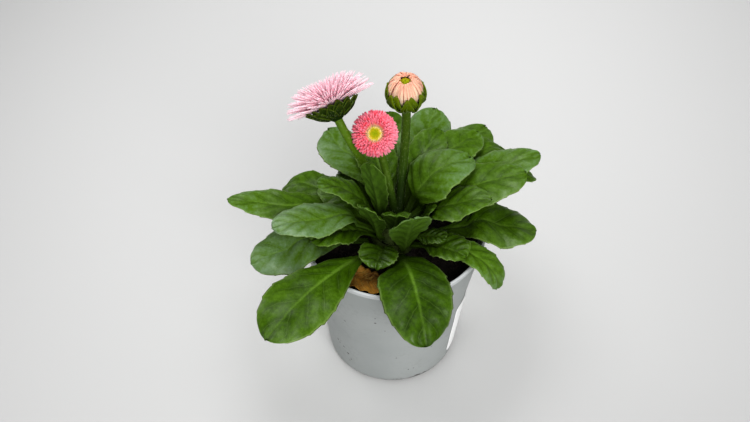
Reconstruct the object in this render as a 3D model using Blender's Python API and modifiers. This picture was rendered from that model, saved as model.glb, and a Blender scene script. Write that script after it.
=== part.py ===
# Double-flowered english daisy in a round nursery pot.
# Metres, +Z up. The origin is the middle of the pot's underside, and -Y is the side shown first.

import math
import random

import bmesh
import bpy
import numpy as np
from mathutils import Matrix, Vector

MM = 0.001
GAP = 0.3 * MM            # clear space between pieces that touch

# Pot
POT_HEIGHT = 84 * MM
BASE_RADIUS = 33 * MM
BEND_HEIGHT = 49 * MM     # below this the wall is steeper
BEND_RADIUS = 38.4 * MM
RIM_RADIUS = 45 * MM
POT_WALL = 1.2 * MM
POT_ROUND = 1.2 * MM      # the bevel under the base
LIP_DEPTH = 2.2 * MM
LIP_PROUD = 0.9 * MM
LIP_ROUND = 0.5 * MM
POT_SIDES = 32
DRAIN_HOLES = 4
DRAIN_RADIUS = 3 * MM
DRAIN_CIRCLE = 21 * MM

# Sticker
LABEL_FROM, LABEL_TO = 326, 408     # degrees round the pot, from +X
LABEL_LOW, LABEL_HIGH = 7 * MM, 46 * MM
LABEL_THICK = 0.5 * MM
LABEL_CLEAR = 0.45 * MM   # off the wall, which is faceted
LABEL_COLUMNS = 12

# Soil and crown
SOIL_LEVEL = 74 * MM
SOIL_BUMP = 0.6 * MM
SOIL_RINGS = (22 * MM, 30 * MM, 36 * MM)
CROWN_RADIUS = 12 * MM
CROWN_ROOT_RADIUS = 6 * MM
CROWN_ROOT_DEPTH = 9 * MM
CROWN_SIDES = 16
CROWN_AT = Vector((0, 0, SOIL_LEVEL))

# Withered leaf on the soil, along the wall
DRY_LEAF_AT, DRY_LEAF_SPAN = 243, 52    # degrees round the pot
DRY_LEAF_RADIUS = 31.5 * MM
DRY_LEAF_WIDTH = 15 * MM
DRY_LEAF_CURL = 1.6 * MM
DRY_LEAF_TILT = 0.9 * MM
DRY_LEAF_RIPPLE = 0.5 * MM

# Leaves
LEAF_THICK = 0.7 * MM
PETIOLE_WIDTH = 3.6 * MM
LEAF_ACROSS = (-1, -0.55, 0, 0.55, 1)
WIDEST = 0.64             # where along a leaf its blade is usually widest
CUPPED = 0.22             # how far a blade's sides droop from its fold
WAVES = 2.2               # along a leaf
FIRST_NECK, LAST_NECK = 0.2, 0.14   # where the blade starts, on the lowest and the highest leaf
BLADE_START, BLADE_END = 0.36, 0.985    # the stretch of a leaf that has teeth
TEETH = 3                 # on each side of a blade
TOOTH_DEPTH = 0.07        # of the blade's half width
SEAT_LOW, SEAT_HIGH = 0.12, 0.93    # sines of the lowest and the highest seat on the crown

# The rosette is laid from the soil up, as leaves lie on each other: each new leaf is turned up
# about the crown just as far as it needs to clear what lies under it.
LIFT_STEPS = 40
LAY_RAYS, LAY_RINGS = 240, 80       # cells round and out from the crown
RING_STEP = 1.5 * MM
NEAR_CLEAR = 1.3 * MM     # room between middle surfaces beside the crown
FAR_CLEAR = 1.9 * MM      # and out where the blades are broad
LAY_MARGIN = 0.7 * MM     # a laid leaf counts as this much wider
STEEPEST = math.radians(78)

# Each leaf, from the soil up: direction, length and width in mm, the angles at which it rises
# at its foot, middle and tip, the angle of its fold, its wave in mm, its seat's rise and direction
# where it has a seat of its own on the crown, and where its blade starts and is widest if that
# isn't as usual.
LEAVES = (
    (330, 57, 15, (38, 4, -92), 14, 0.8, None, (0.2, 0.68)),
    (281, 68, 32, (44, 10, -62), 8, 1.4, None, (0.0, 0.54)),
    (231, 82, 31, (30, 10, -26), 8, 0.8, None, (0.1, 0.7)),
    (195, 60, 30, (20, 3, -22), 8, 0.8, None, None),
    (358, 59, 27, (26, 8, -22), 8, 0.8, None, None),
    (322, 36, 18, (32, 6, -50), 26, 0.6, None, None),
    (168, 46, 24, (20, 5, -15), 8, 0.8, None, None),
    (155, 50, 21, (20, 4, -8), 10, 0.8, None, (0.2, 0.5)),
    (130, 32, 20, (24, 10, 0), 9, 0.8, None, None),
    (91, 72, 20, (18, 8, -16), 9, 0.8, None, None),
    (53, 72, 26, (24, 10, -8), 9, 0.8, None, None),
    (22, 74, 15, (30, 18, -60), 9, 0.8, None, None),
    (112, 60, 26, (20, 6, -20), 9, 0.8, None, None),
    (178, 72, 18, (33, 16, 1), 10, 0.8, None, (0.2, 0.6)),
    (122, 56, 25, (36, 20, 4), 8, 1.6, None, None),
    (71, 62, 26, (32, 24, 8), 8, 0.8, None, None),
    (38, 64, 22, (28, 10, -10), 10, 0.8, None, None),
    (20, 72, 22, (40, 24, 0), 10, 0.8, None, None),
    (328, 22, 11, (44, 30, 0), 12, 0.6, None, None),
    (206, 38, 19, (50, 24, -14), 16, 0.8, None, None),
    (9, 62, 27, (38, 26, 4), 8, 0.8, None, None),
    (46, 58, 23, (34, 18, 0), 10, 0.8, None, None),
    (106, 46, 20, (40, 22, 4), 10, 0.8, (30, 112), None),
    (162, 34, 18, (40, 20, 0), 12, 0.8, None, None),
    (197, 56, 21, (46, 22, -8), 9, 0.8, None, None),
    (350, 48, 21, (38, 24, -6), 10, 0.8, None, None),
    (64, 50, 19, (56, 28, -14), 10, 0.6, (36, 47), None),
    (256, 28, 18, (60, 22, -56), 30, 0.8, (20, 250), None),
    (236, 38, 14, (76, 70, 54), 16, 0.6, (36, 230), None),
    (288, 40, 20, (74, 72, 66), 14, 0.5, (8, 291), (0.1, 0.76)),
    (349, 24, 10, (50, 30, 0), 14, 0.5, (12, 341), None),
    (30, 45, 28, (48, 38, 22), 8, 0.5, (20, 18), (0.2, 0.6)),
    (184, 46, 15, (72, 52, 0), 12, 0.8, (56, 186), None),
    (268, 36, 13, (70, 62, 52), 14, 0.6, (42, 278), None),
    (236, 54, 14, (77, 78, 78), 16, 0.5, (62, 214), (0.14, 0.72)),
)

# Florets and bracts
BLADE_THICK = 0.7 * MM
FLORET = ((0.0, 0.45), (0.68, 1.0), (1.0, 0.4))     # share of the length, share of the width
SHORT_FLORET = ((0.0, 0.6), (1.0, 0.9))
SHORT_FLORET_LENGTH = 8 * MM
BRACT = ((0.0, 0.7), (0.55, 1.0), (1.0, 0.12))
STEM_STEPS = 9
STEM_FOOT = 1.12          # how much thicker a stem is at its foot
DISC_SIDES = 14
DISC_BUMP = 0.25 * MM

# Each flower: where its head is in mm and which way it faces, its seat on the crown and the way
# its stem starts (rise and direction), and in mm its stem's radius, its cup, its middle and the
# height of its core. A ring has a count, the radius and height of its root, a length, a width,
# its rise from root to tip in degrees, and the turn of its first blade in radians. "spread" is
# how unlike each other the blades of a ring are.
OPEN_FLOWER = {
    "head": (-27.5, 8.0, 152), "axis": (-0.40, 0.62, 0.66), "seat": (58, 124), "way": (72, 118),
    "stem": 1.75, "cup": 7.5, "cup_depth": 4.6, "middle": 2.0, "middle_proud": 0.6, "core": 4.6,
    "bracts": ((13, 5.6, -1.6, 6.4, 3.6, (20, 4), 0.0),),
    "rays": (
        (24, 5.0, 1.2, 15.2, 3.4, (18, 4), 0.1),
        (22, 4.6, 1.8, 15.0, 3.3, (34, 20), 0.25),
        (18, 4.2, 2.4, 13.6, 3.1, (52, 38), 0.0),
        (12, 3.6, 2.8, 11.6, 2.8, (68, 56), 0.2),
        (7, 3.0, 3.0, 10.0, 2.4, (82, 76), 0.1),
    ),
    "finish": "pale_pink", "spread": 0.06, "seed": 11,
}
HALF_OPEN_FLOWER = {
    "head": (-9.0, 3.4, 141), "axis": (-0.03, -0.70, 0.71), "seat": (84, 60), "way": (88, 180),
    "stem": 1.7, "cup": 5.4, "cup_depth": 3.4, "middle": 3.0, "middle_proud": 1.2, "core": 2.8,
    "bracts": ((13, 4.0, -1.0, 5.6, 3.0, (24, 14), 0.0),),
    "rays": (
        (22, 3.8, 1.2, 7.2, 2.3, (28, 14), 0.1),
        (20, 3.7, 1.6, 6.6, 2.1, (46, 30), 0.22),
        (14, 3.6, 1.8, 5.2, 1.9, (64, 48), 0.0),
    ),
    "finish": "rose_pink", "spread": 0.06, "seed": 12,
}
BUD = {
    "head": (5.2, 22.0, 145), "axis": (-0.05, -0.14, 0.99), "seat": (44, 74), "way": (62, 80),
    "stem": 1.9, "cup": 6.4, "cup_depth": 4.4, "middle": 1.9, "middle_proud": 5.0, "core": 6.0,
    "bracts": ((6, 5.0, -1.6, 12.2, 6.6, (40, 106), 0.0), (6, 5.3, -1.7, 11.4, 6.2, (36, 102), 0.52)),
    "rays": (
        (14, 5.0, 1.4, 15.6, 3.6, (40, 165), 0.1),
        (9, 4.0, 3.0, 12.0, 3.0, (50, 160), 0.0),
    ),
    "finish": "peach_pink", "spread": 0.016, "seed": 13,
}
FLOWERS = {"open_flower": OPEN_FLOWER, "half_open_flower": HALF_OPEN_FLOWER, "bud": BUD}

# Finishes: colour and roughness
FINISHES = {
    "pot_grey": ((0.42, 0.44, 0.45), 0.55),
    "label_white": ((0.85, 0.85, 0.85), 0.5),
    "soil_dark": ((0.03, 0.02, 0.015), 0.95),
    "crown_green": ((0.22, 0.3, 0.08), 0.7),
    "leaf_green": ((0.07, 0.2, 0.03), 0.5),
    "dry_brown": ((0.42, 0.2, 0.06), 0.8),
    "stem_green": ((0.2, 0.34, 0.07), 0.6),
    "disc_yellow": ((0.6, 0.58, 0.06), 0.7),
    "pale_pink": ((0.85, 0.5, 0.62), 0.6),
    "rose_pink": ((0.8, 0.14, 0.25), 0.6),
    "peach_pink": ((0.9, 0.5, 0.4), 0.6),
}


def smooth_step(t):
    t = np.clip(t, 0, 1)
    return t * t * (3 - 2 * t)


def direction_of(rise, turn):
    """A direction from its rise above the ground and its turn about the pot, in degrees."""
    rise, turn = math.radians(rise), math.radians(turn)
    flat = math.cos(rise)
    return Vector((flat * math.cos(turn), flat * math.sin(turn), math.sin(rise)))


def seat_on_crown(rise, turn):
    """The point just above the crown's surface where a leaf or stem starts."""
    return CROWN_AT + (CROWN_RADIUS + GAP) * direction_of(rise, turn)


class Leaf:
    """One spoon-shaped leaf: a petiole that widens into a blade, on a curved midrib."""

    def __init__(self, number, direction, length, width, rise, fold, wave, seat, shape):
        self.name = f"leaf_{number + 1:02d}"
        self.direction = math.radians(direction)
        self.length = length * MM
        self.half = width * MM / 2
        self.rise = [math.radians(angle) for angle in rise]
        share = number / (len(LEAVES) - 1)
        usual = math.degrees(math.asin(SEAT_LOW + (SEAT_HIGH - SEAT_LOW) * share))
        self.foot = seat_on_crown(*(seat or (usual, direction)))
        self.fold = math.tan(math.radians(fold))
        self.wave = wave * MM
        self.phase = (number * 0.382) % 1
        self.neck, self.widest = shape or (FIRST_NECK + (LAST_NECK - FIRST_NECK) * share, WIDEST)
        self.lift = np.zeros(LIFT_STEPS)

    def half_width(self, along):
        """Half the leaf's width: a narrow neck, the widest place, and a round tip."""
        petiole = PETIOLE_WIDTH / 2
        grow = smooth_step((along - self.neck) / (self.widest - self.neck))
        beyond = np.clip((along - self.widest) / (1 - self.widest), 0, 1)
        width = (petiole + (self.half - petiole) * grow) * np.sqrt(1 - beyond**2.2)
        return np.maximum(width, 0.9 * MM)

    def toothed(self, along):
        """The edge's scallops, as a factor on the half width."""
        tooth = np.clip((along - BLADE_START) / (BLADE_END - BLADE_START), 0, 1) * TEETH
        on_blade = (tooth > 0) & (tooth < TEETH)
        return 1 + TOOTH_DEPTH * np.sin(np.pi * (tooth % 1)) * on_blade

    def midrib(self, along):
        """Points and directions of the midrib, which bends smoothly from foot to tip."""
        steps = np.linspace(0, 1, 60)
        foot, middle, tip = self.rise
        rise = foot + (4 * middle - 3 * foot - tip) * steps + 2 * (foot - 2 * middle + tip) * steps**2
        heading = np.array([math.cos(self.direction), math.sin(self.direction), 0])
        up = np.array([0, 0, 1])
        way = np.outer(np.cos(rise), heading) + np.outer(np.sin(rise), up)
        strides = (way[:-1] + way[1:]) / 2 * self.length / (len(steps) - 1)
        points = np.array(self.foot) + np.vstack([np.zeros(3), np.cumsum(strides, axis=0)])
        at = np.stack([np.interp(along, steps, points[:, k]) for k in range(3)], axis=1)
        way = np.stack([np.interp(along, steps, way[:, k]) for k in range(3)], axis=1)
        return at, way / np.linalg.norm(way, axis=1)[:, None]

    def surface(self, along, across, margin=0.0):
        """Grid of points on the leaf's middle surface, a margin wider than the leaf itself."""
        at, way = self.midrib(along)
        side = np.array([-math.sin(self.direction), math.cos(self.direction), 0])
        normal = np.cross(way, side)
        width = self.half_width(along)
        edge = width * self.toothed(along)
        u = across[None, :]
        reach = np.where(np.abs(u) > 0.99, edge[:, None], width[:, None])
        blade = smooth_step((along - self.neck) / 0.3)[:, None]
        ripple = np.sin(2 * np.pi * (WAVES * along[:, None] + self.phase + 0.25 * np.sign(u)))
        height = width[:, None] * (self.fold * np.abs(u) - CUPPED * u**2)
        height = height + self.wave * blade * np.abs(u) ** 1.5 * ripple
        out = u * (reach + margin)
        grid = at[:, None, :] + out[:, :, None] * side + height[:, :, None] * normal[:, None, :]
        return self.lifted(grid, along)

    def lifted(self, grid, along):
        """The grid turned up about the crown, row by row, by the leaf's own lift."""
        turn = np.interp(along, np.linspace(0, 1, LIFT_STEPS), self.lift)[:, None]
        rel = grid - np.array(CROWN_AT)
        middle = rel[:, rel.shape[1] // 2]
        facing = np.arctan2(middle[:, 1], middle[:, 0])
        out = np.stack([np.cos(facing), np.sin(facing), 0 * facing], axis=1)[:, None, :]
        reach = (rel * out).sum(axis=2)
        height = rel[:, :, 2].copy()
        rel = rel + out * (reach * (np.cos(turn) - 1) - height * np.sin(turn))[:, :, None]
        rel[:, :, 2] = reach * np.sin(turn) + height * np.cos(turn)
        return rel + np.array(CROWN_AT)


def lay_cells(points):
    """Cell round and out from the crown, angle above the soil, and distance, of each point."""
    rel = (points - np.array(CROWN_AT)).reshape(-1, 3)
    distance = np.linalg.norm(rel, axis=1)
    turn = np.arctan2(rel[:, 1], rel[:, 0])
    angle = np.arcsin(np.clip(rel[:, 2] / distance, -1, 1))
    ray = (turn / (2 * np.pi) * LAY_RAYS).astype(int) % LAY_RAYS
    ring = np.clip((distance / RING_STEP).astype(int), 0, LAY_RINGS - 1)
    return ray, ring, angle, distance


def bare_ground():
    """The angle, seen from the crown, that the soil and the pot's rim already fill."""
    filled = np.full((LAY_RAYS, LAY_RINGS), -np.pi / 2)
    for ring in range(LAY_RINGS):
        distance = (ring + 0.5) * RING_STEP
        if distance < 44 * MM:
            filled[:, ring] = math.asin(min(1, SOIL_BUMP / distance))
        if RIM_RADIUS - 1.5 * MM < distance < RIM_RADIUS + 2.5 * MM:
            filled[:, ring] = math.asin((POT_HEIGHT + GAP - SOIL_LEVEL) / distance)
    return filled


def clear_needed(leaf, filled):
    """How far each row of the leaf still has to turn up."""
    rows = np.linspace(0, 1, LIFT_STEPS)
    ray, ring, angle, distance = lay_cells(leaf.surface(rows, np.linspace(-1, 1, 15)))
    clear = np.interp(distance, [14 * MM, 35 * MM], [NEAR_CLEAR, FAR_CLEAR]) / distance
    need = np.maximum(filled[ray, ring] + clear - angle, 0).reshape(LIFT_STEPS, -1).max(axis=1)
    room = STEEPEST - angle.reshape(LIFT_STEPS, -1).max(axis=1)
    return np.minimum(need, np.maximum(room, 0))


def lay_leaf(leaf, filled):
    for _ in range(5):
        need = clear_needed(leaf, filled)
        if need.max() < math.radians(0.3):
            break
        # the turn is spread along the leaf, so that it bends and doesn't kink
        near = np.array([need[max(0, i - 2):i + 3].max() for i in range(LIFT_STEPS)])
        weight = np.exp(-np.linspace(-2, 2, 9) ** 2)
        spread = np.convolve(np.pad(near, 4, mode="edge"), weight / weight.sum(), mode="valid")
        leaf.lift = leaf.lift + np.maximum(spread, 0.9 * need)
    cover = leaf.surface(np.linspace(0, 1, 120), np.linspace(-1, 1, 31), margin=LAY_MARGIN)
    ray, ring, angle, _ = lay_cells(cover)
    np.maximum.at(filled, (ray, ring), angle)


def build_leaf(leaf, finish):
    """The leaf as a thin plate: a grid split into triangles, given its thickness by Solidify."""
    foot = [0, 0.2]
    blade = list(np.linspace(BLADE_START, BLADE_END, 2 * TEETH + 1))
    rows = np.array(foot + blade + [1.0])
    grid = leaf.surface(rows, np.array(LEAF_ACROSS, float))
    mesh = bmesh.new()
    verts = [[mesh.verts.new(point) for point in row] for row in grid]
    for near, far in zip(verts, verts[1:]):
        for k in range(len(LEAF_ACROSS) - 1):
            corners = near[k], near[k + 1], far[k + 1], far[k]
            if k < 2:
                mesh.faces.new((corners[0], corners[1], corners[2]))
                mesh.faces.new((corners[0], corners[2], corners[3]))
            else:
                mesh.faces.new((corners[0], corners[1], corners[3]))
                mesh.faces.new((corners[1], corners[2], corners[3]))
    obj = add_object(leaf.name, mesh, finish)
    plate = obj.modifiers.new("Thickness", "SOLIDIFY")
    plate.thickness = LEAF_THICK
    plate.offset = 0
    return obj


# Objects, finishes and fusing


def clear_scene():
    for obj in list(bpy.data.objects):
        bpy.data.objects.remove(obj, do_unlink=True)


def new_collection(name, hidden=False):
    group = bpy.data.collections.new(name)
    bpy.context.scene.collection.children.link(group)
    group.hide_render = hidden
    return group


def make_finish(name, colour, roughness):
    material = bpy.data.materials.new(name)
    material.use_nodes = True
    shader = material.node_tree.nodes["Principled BSDF"]
    shader.inputs["Base Color"].default_value = (*colour, 1)
    shader.inputs["Roughness"].default_value = roughness
    shader.inputs["Metallic"].default_value = 0
    return material


def add_object(name, mesh, material, group=None):
    """An object in the plant's collection from a bmesh, which is freed."""
    bmesh.ops.recalc_face_normals(mesh, faces=mesh.faces)
    data = bpy.data.meshes.new(name)
    mesh.to_mesh(data)
    mesh.free()
    obj = bpy.data.objects.new(name, data)
    data.materials.append(material)
    (group or plant).objects.link(obj)
    data.shade_smooth()
    return obj


def turned(name, profile, sides, material, hidden=False):
    """A turned piece: a profile from top to bottom, closed on itself or on the axis."""
    data = bpy.data.meshes.new(name)
    edges = [(i, i + 1) for i in range(len(profile) - 1)]
    if profile[0][0] > 0:
        edges.append((len(profile) - 1, 0))
    data.from_pydata([(r, 0, z) for r, z in profile], edges, [])
    obj = bpy.data.objects.new(name, data)
    data.materials.append(material)
    (helpers if hidden else plant).objects.link(obj)
    screw = obj.modifiers.new("Turn", "SCREW")
    screw.steps = sides
    screw.render_steps = sides
    screw.use_merge_vertices = True
    screw.merge_threshold = 0.00001
    screw.use_smooth_shade = True
    return obj


def fixed_mesh(obj):
    """The object's mesh with its modifiers applied, as a new bmesh in world space."""
    bpy.context.view_layer.update()
    graph = bpy.context.evaluated_depsgraph_get()
    data = bpy.data.meshes.new_from_object(obj.evaluated_get(graph))
    mesh = bmesh.new()
    mesh.from_mesh(data)
    bmesh.ops.remove_doubles(mesh, verts=mesh.verts, dist=0.000001)
    mesh.transform(obj.matrix_world)
    bpy.data.meshes.remove(data)
    return mesh


def fused(name, pieces, material):
    """One solid from a list of closed bmeshes that overlap each other."""
    first = add_object(name, pieces[0], material)
    rest = new_collection(name + "_pieces", hidden=True)
    for number, piece in enumerate(pieces[1:]):
        add_object(f"{name}_piece_{number}", piece, material, rest)
    union = first.modifiers.new("Join", "BOOLEAN")
    union.operation = "UNION"
    union.operand_type = "COLLECTION"
    union.collection = rest
    union.solver = "MANIFOLD"
    bpy.context.view_layer.update()
    graph = bpy.context.evaluated_depsgraph_get()
    data = bpy.data.meshes.new_from_object(first.evaluated_get(graph))
    first.modifiers.clear()
    first.data = data
    data.shade_smooth()
    for obj in list(rest.objects):
        bpy.data.objects.remove(obj, do_unlink=True)
    bpy.data.collections.remove(rest)
    return first


def loft(sections):
    """A closed body through sections that have equal numbers of points. A section of one point
    is a tip."""
    mesh = bmesh.new()
    rings = [[mesh.verts.new(point) for point in section] for section in sections]
    for near, far in zip(rings, rings[1:]):
        count = max(len(near), len(far))
        for k in range(count):
            corners = [near[k % len(near)], near[(k + 1) % len(near)]]
            corners += [far[(k + 1) % len(far)], far[k % len(far)]]
            corners = list(dict.fromkeys(corners))
            mesh.faces.new(corners)
    for end in (rings[0], rings[-1]):
        if len(end) > 2:
            mesh.faces.new(end)
    return mesh


# Pot, sticker and soil


def wall_radius(height):
    """The pot's outer radius at a height."""
    if height < BEND_HEIGHT:
        return BASE_RADIUS + (BEND_RADIUS - BASE_RADIUS) * height / BEND_HEIGHT
    top = RIM_RADIUS - LIP_PROUD
    share = (height - BEND_HEIGHT) / (POT_HEIGHT - BEND_HEIGHT)
    return BEND_RADIUS + (top - BEND_RADIUS) * share


def build_pot(finish):
    lip_low = POT_HEIGHT - LIP_DEPTH
    profile = [
        (RIM_RADIUS - LIP_ROUND, POT_HEIGHT),
        (RIM_RADIUS, POT_HEIGHT - LIP_ROUND),
        (RIM_RADIUS, lip_low),
        (wall_radius(lip_low - LIP_ROUND), lip_low - LIP_ROUND),
        (BEND_RADIUS, BEND_HEIGHT),
        (wall_radius(POT_ROUND), POT_ROUND),
        (BASE_RADIUS - POT_ROUND, 0),
        (0, 0),
        (0, POT_WALL),
        (BASE_RADIUS - POT_WALL, POT_WALL),
        (BEND_RADIUS - POT_WALL, BEND_HEIGHT),
        (wall_radius(POT_HEIGHT) - POT_WALL, POT_HEIGHT),
    ]
    pot = turned("pot", profile, POT_SIDES, finish)
    for number in range(DRAIN_HOLES):
        turn = 2 * math.pi * (number + 0.5) / DRAIN_HOLES
        mesh = bmesh.new()
        bmesh.ops.create_cone(
            mesh, cap_ends=True, segments=10, radius1=DRAIN_RADIUS, radius2=DRAIN_RADIUS, depth=10 * MM
        )
        at = Matrix.Translation((DRAIN_CIRCLE * math.cos(turn), DRAIN_CIRCLE * math.sin(turn), 0))
        mesh.transform(at)
        cutter = add_object(f"drain_cutter_{number}", mesh, finish, helpers)
        cutter.hide_render = True
        cutter.display_type = "WIRE"
        cut = pot.modifiers.new("Drain", "BOOLEAN")
        cut.operation = "DIFFERENCE"
        cut.object = cutter
    return pot


def build_label(finish):
    """A blank sticker that follows the lower wall."""
    mesh = bmesh.new()
    rows = []
    for height in (LABEL_LOW, LABEL_HIGH):
        radius = wall_radius(height) + LABEL_CLEAR + LABEL_THICK / 2
        turns = np.radians(np.linspace(LABEL_FROM, LABEL_TO, LABEL_COLUMNS + 1))
        rows.append([mesh.verts.new((radius * math.cos(t), radius * math.sin(t), height)) for t in turns])
    for k in range(LABEL_COLUMNS):
        mesh.faces.new((rows[0][k], rows[0][k + 1], rows[1][k + 1], rows[1][k]))
    label = add_object("label", mesh, finish)
    plate = label.modifiers.new("Thickness", "SOLIDIFY")
    plate.thickness = LABEL_THICK
    plate.offset = 0
    return label


def build_soil(finish):
    """Potting soil that fills the pot, with a plain hole for the crown's root."""
    clear = POT_WALL + GAP
    hole = CROWN_ROOT_RADIUS + GAP
    hole_floor = SOIL_LEVEL - CROWN_ROOT_DEPTH - GAP
    side = wall_radius(SOIL_LEVEL) - clear
    profile = [
        (hole, SOIL_LEVEL - GAP),
        (CROWN_RADIUS + 1 * MM, SOIL_LEVEL - GAP),
        *((ring, SOIL_LEVEL) for ring in SOIL_RINGS),
        (side, SOIL_LEVEL),
        (BEND_RADIUS - clear - 0.1 * MM, BEND_HEIGHT),
        (BASE_RADIUS - clear, POT_WALL + GAP),
        (0, POT_WALL + GAP),
        (0, hole_floor),
        (hole, hole_floor),
    ]
    soil = turned("soil", profile, POT_SIDES, finish)
    mesh = fixed_mesh(soil)
    draw = random.Random(4)
    for vert in mesh.verts:
        out = math.hypot(vert.co.x, vert.co.y)
        if vert.co.z > SOIL_LEVEL - 0.01 * MM and out < side - 1 * MM:
            vert.co.z += draw.uniform(-1, 1) * SOIL_BUMP
    soil.modifiers.clear()
    mesh.to_mesh(soil.data)
    mesh.free()
    return soil


def build_crown(finish):
    """The short rootstock: a dome that the leaves grow from, with its root in the soil."""
    steps = 6
    low = SOIL_LEVEL + GAP
    angles = [math.pi / 2 * (1 - k / steps) for k in range(steps)]
    profile = [(CROWN_RADIUS * math.cos(a), SOIL_LEVEL + CROWN_RADIUS * math.sin(a)) for a in angles]
    profile[0] = (0, SOIL_LEVEL + CROWN_RADIUS)
    profile += [
        (CROWN_RADIUS - 0.1 * MM, low),
        (CROWN_ROOT_RADIUS, low),
        (CROWN_ROOT_RADIUS * 0.7, SOIL_LEVEL - CROWN_ROOT_DEPTH),
        (0, SOIL_LEVEL - CROWN_ROOT_DEPTH),
    ]
    return turned("crown", profile, CROWN_SIDES, finish)


# Withered leaf


def build_dry_leaf(finish, filled):
    """A curled, withered leaf that lies on the soil along the wall."""
    grid = []
    rest = SOIL_LEVEL + SOIL_BUMP + GAP + LEAF_THICK / 2 + DRY_LEAF_RIPPLE
    for along in np.linspace(-1, 1, 9):
        turn = math.radians(DRY_LEAF_AT + DRY_LEAF_SPAN / 2 * along)
        half = DRY_LEAF_WIDTH / 2 * max(0.12, math.sqrt(1 - along**2))
        row = []
        for across in (-1, -0.4, 0.3, 1):
            radius = DRY_LEAF_RADIUS + half * across
            height = rest + DRY_LEAF_CURL * across**2 + DRY_LEAF_TILT * across
            height += DRY_LEAF_RIPPLE * math.sin(5 * along + 2 * across)
            row.append((radius * math.cos(turn), radius * math.sin(turn), height))
        grid.append(row)
    mesh = bmesh.new()
    verts = [[mesh.verts.new(point) for point in row] for row in grid]
    for near, far in zip(verts, verts[1:]):
        for k in range(3):
            mesh.faces.new((near[k], near[k + 1], far[k + 1]))
            mesh.faces.new((near[k], far[k + 1], far[k]))
    dry = add_object("dry_leaf", mesh, finish)
    plate = dry.modifiers.new("Thickness", "SOLIDIFY")
    plate.thickness = LEAF_THICK
    plate.offset = 0
    for along in np.linspace(-1, 1, 60):
        turn = math.radians(DRY_LEAF_AT + (DRY_LEAF_SPAN / 2 + 2) * along)
        radius = DRY_LEAF_RADIUS + np.linspace(-0.55, 0.55, 40) * DRY_LEAF_WIDTH
        top = np.full_like(radius, rest + DRY_LEAF_CURL + DRY_LEAF_TILT + 2 * DRY_LEAF_RIPPLE)
        points = np.stack([radius * math.cos(turn), radius * math.sin(turn), top], axis=1)
        ray, ring, angle, _ = lay_cells(points)
        np.maximum.at(filled, (ray, ring), angle)


# Flowers


def blade(turn, root, length, width, rise, outline):
    """A floret or bract, as a closed thin body. It starts at a radius and height, its rise bends
    from the first angle to the last, and its outline gives its width at shares of its length."""
    radius, height = root
    sections = []
    at = 0
    for along, share in outline:
        steps = 4
        for step in range(steps):
            middle = at + (along - at) * (step + 0.5) / steps
            angle = math.radians(rise[0] + (rise[1] - rise[0]) * middle)
            radius += length * (along - at) / steps * math.cos(angle)
            height += length * (along - at) / steps * math.sin(angle)
        at = along
        angle = math.radians(rise[0] + (rise[1] - rise[0]) * along)
        section = []
        for side, face in ((-1, -1), (1, -1), (1, 1), (-1, 1)):
            out = radius - face * BLADE_THICK / 2 * math.sin(angle)
            up = height + face * BLADE_THICK / 2 * math.cos(angle)
            section.append(Vector((out, side * width / 2 * share, up)))
        sections.append(section)
    mesh = loft(sections)
    mesh.transform(Matrix.Rotation(turn, 4, "Z"))
    return mesh


def round_body(profile, sides=16):
    """A turned bmesh from a profile that runs from top to bottom."""
    shape = turned("turned_body", profile, sides, finishes["stem_green"], hidden=True)
    mesh = fixed_mesh(shape)
    bpy.data.objects.remove(shape, do_unlink=True)
    return mesh


def ring_of_blades(count, first_turn, root, length, width, rise, outline, draw, spread):
    """One ring of florets or bracts, each a little unlike the next."""
    pieces = []
    for number in range(count):
        turn = first_turn + 2 * math.pi * number / count + draw.uniform(-1, 1) * spread
        lean = draw.uniform(-1, 1) * spread * 50
        longer = 1 + draw.uniform(-1, 1) * spread
        bent = (rise[0] + lean, rise[1] + lean)
        pieces.append(blade(turn, root, length * longer, width, bent, outline))
    return pieces


def stem_points(shape):
    """A smooth path from the stem's seat on the crown into the flower's head."""
    seat = seat_on_crown(*shape["seat"])
    axis = Vector(shape["axis"]).normalized()
    outward, way = direction_of(*shape["seat"]), direction_of(*shape["way"])
    seat += outward * shape["stem"] * MM * STEM_FOOT * math.sin(outward.angle(way))
    top = Vector(shape["head"]) * MM - axis * shape["cup_depth"] * MM * 0.6
    run = (top - seat).length
    control = (seat, seat + way * run * 0.35, top - axis * run * 0.3, top)
    points = []
    for k in range(STEM_STEPS):
        t = k / (STEM_STEPS - 1)
        weights = ((1 - t) ** 3, 3 * t * (1 - t) ** 2, 3 * t**2 * (1 - t), t**3)
        points.append(sum((w * p for w, p in zip(weights, control)), Vector((0, 0, 0))))
    return points


def stem_body(shape):
    """The flower's stem, a tube a little thicker at its ends."""
    data = bpy.data.curves.new("stem_path", "CURVE")
    data.dimensions = "3D"
    data.bevel_depth = shape["stem"] * MM
    data.bevel_resolution = 2
    data.use_fill_caps = True
    spline = data.splines.new("POLY")
    points = stem_points(shape)
    spline.points.add(len(points) - 1)
    for k, at in enumerate(points):
        spline.points[k].co = (*at, 1)
        slim = math.sin(math.pi * min(1, 1.2 * k / (STEM_STEPS - 1)))
        spline.points[k].radius = STEM_FOOT - 0.18 * slim
    path = bpy.data.objects.new("stem_path", data)
    helpers.objects.link(path)
    mesh = fixed_mesh(path)
    bpy.data.objects.remove(path, do_unlink=True)
    return mesh


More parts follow.
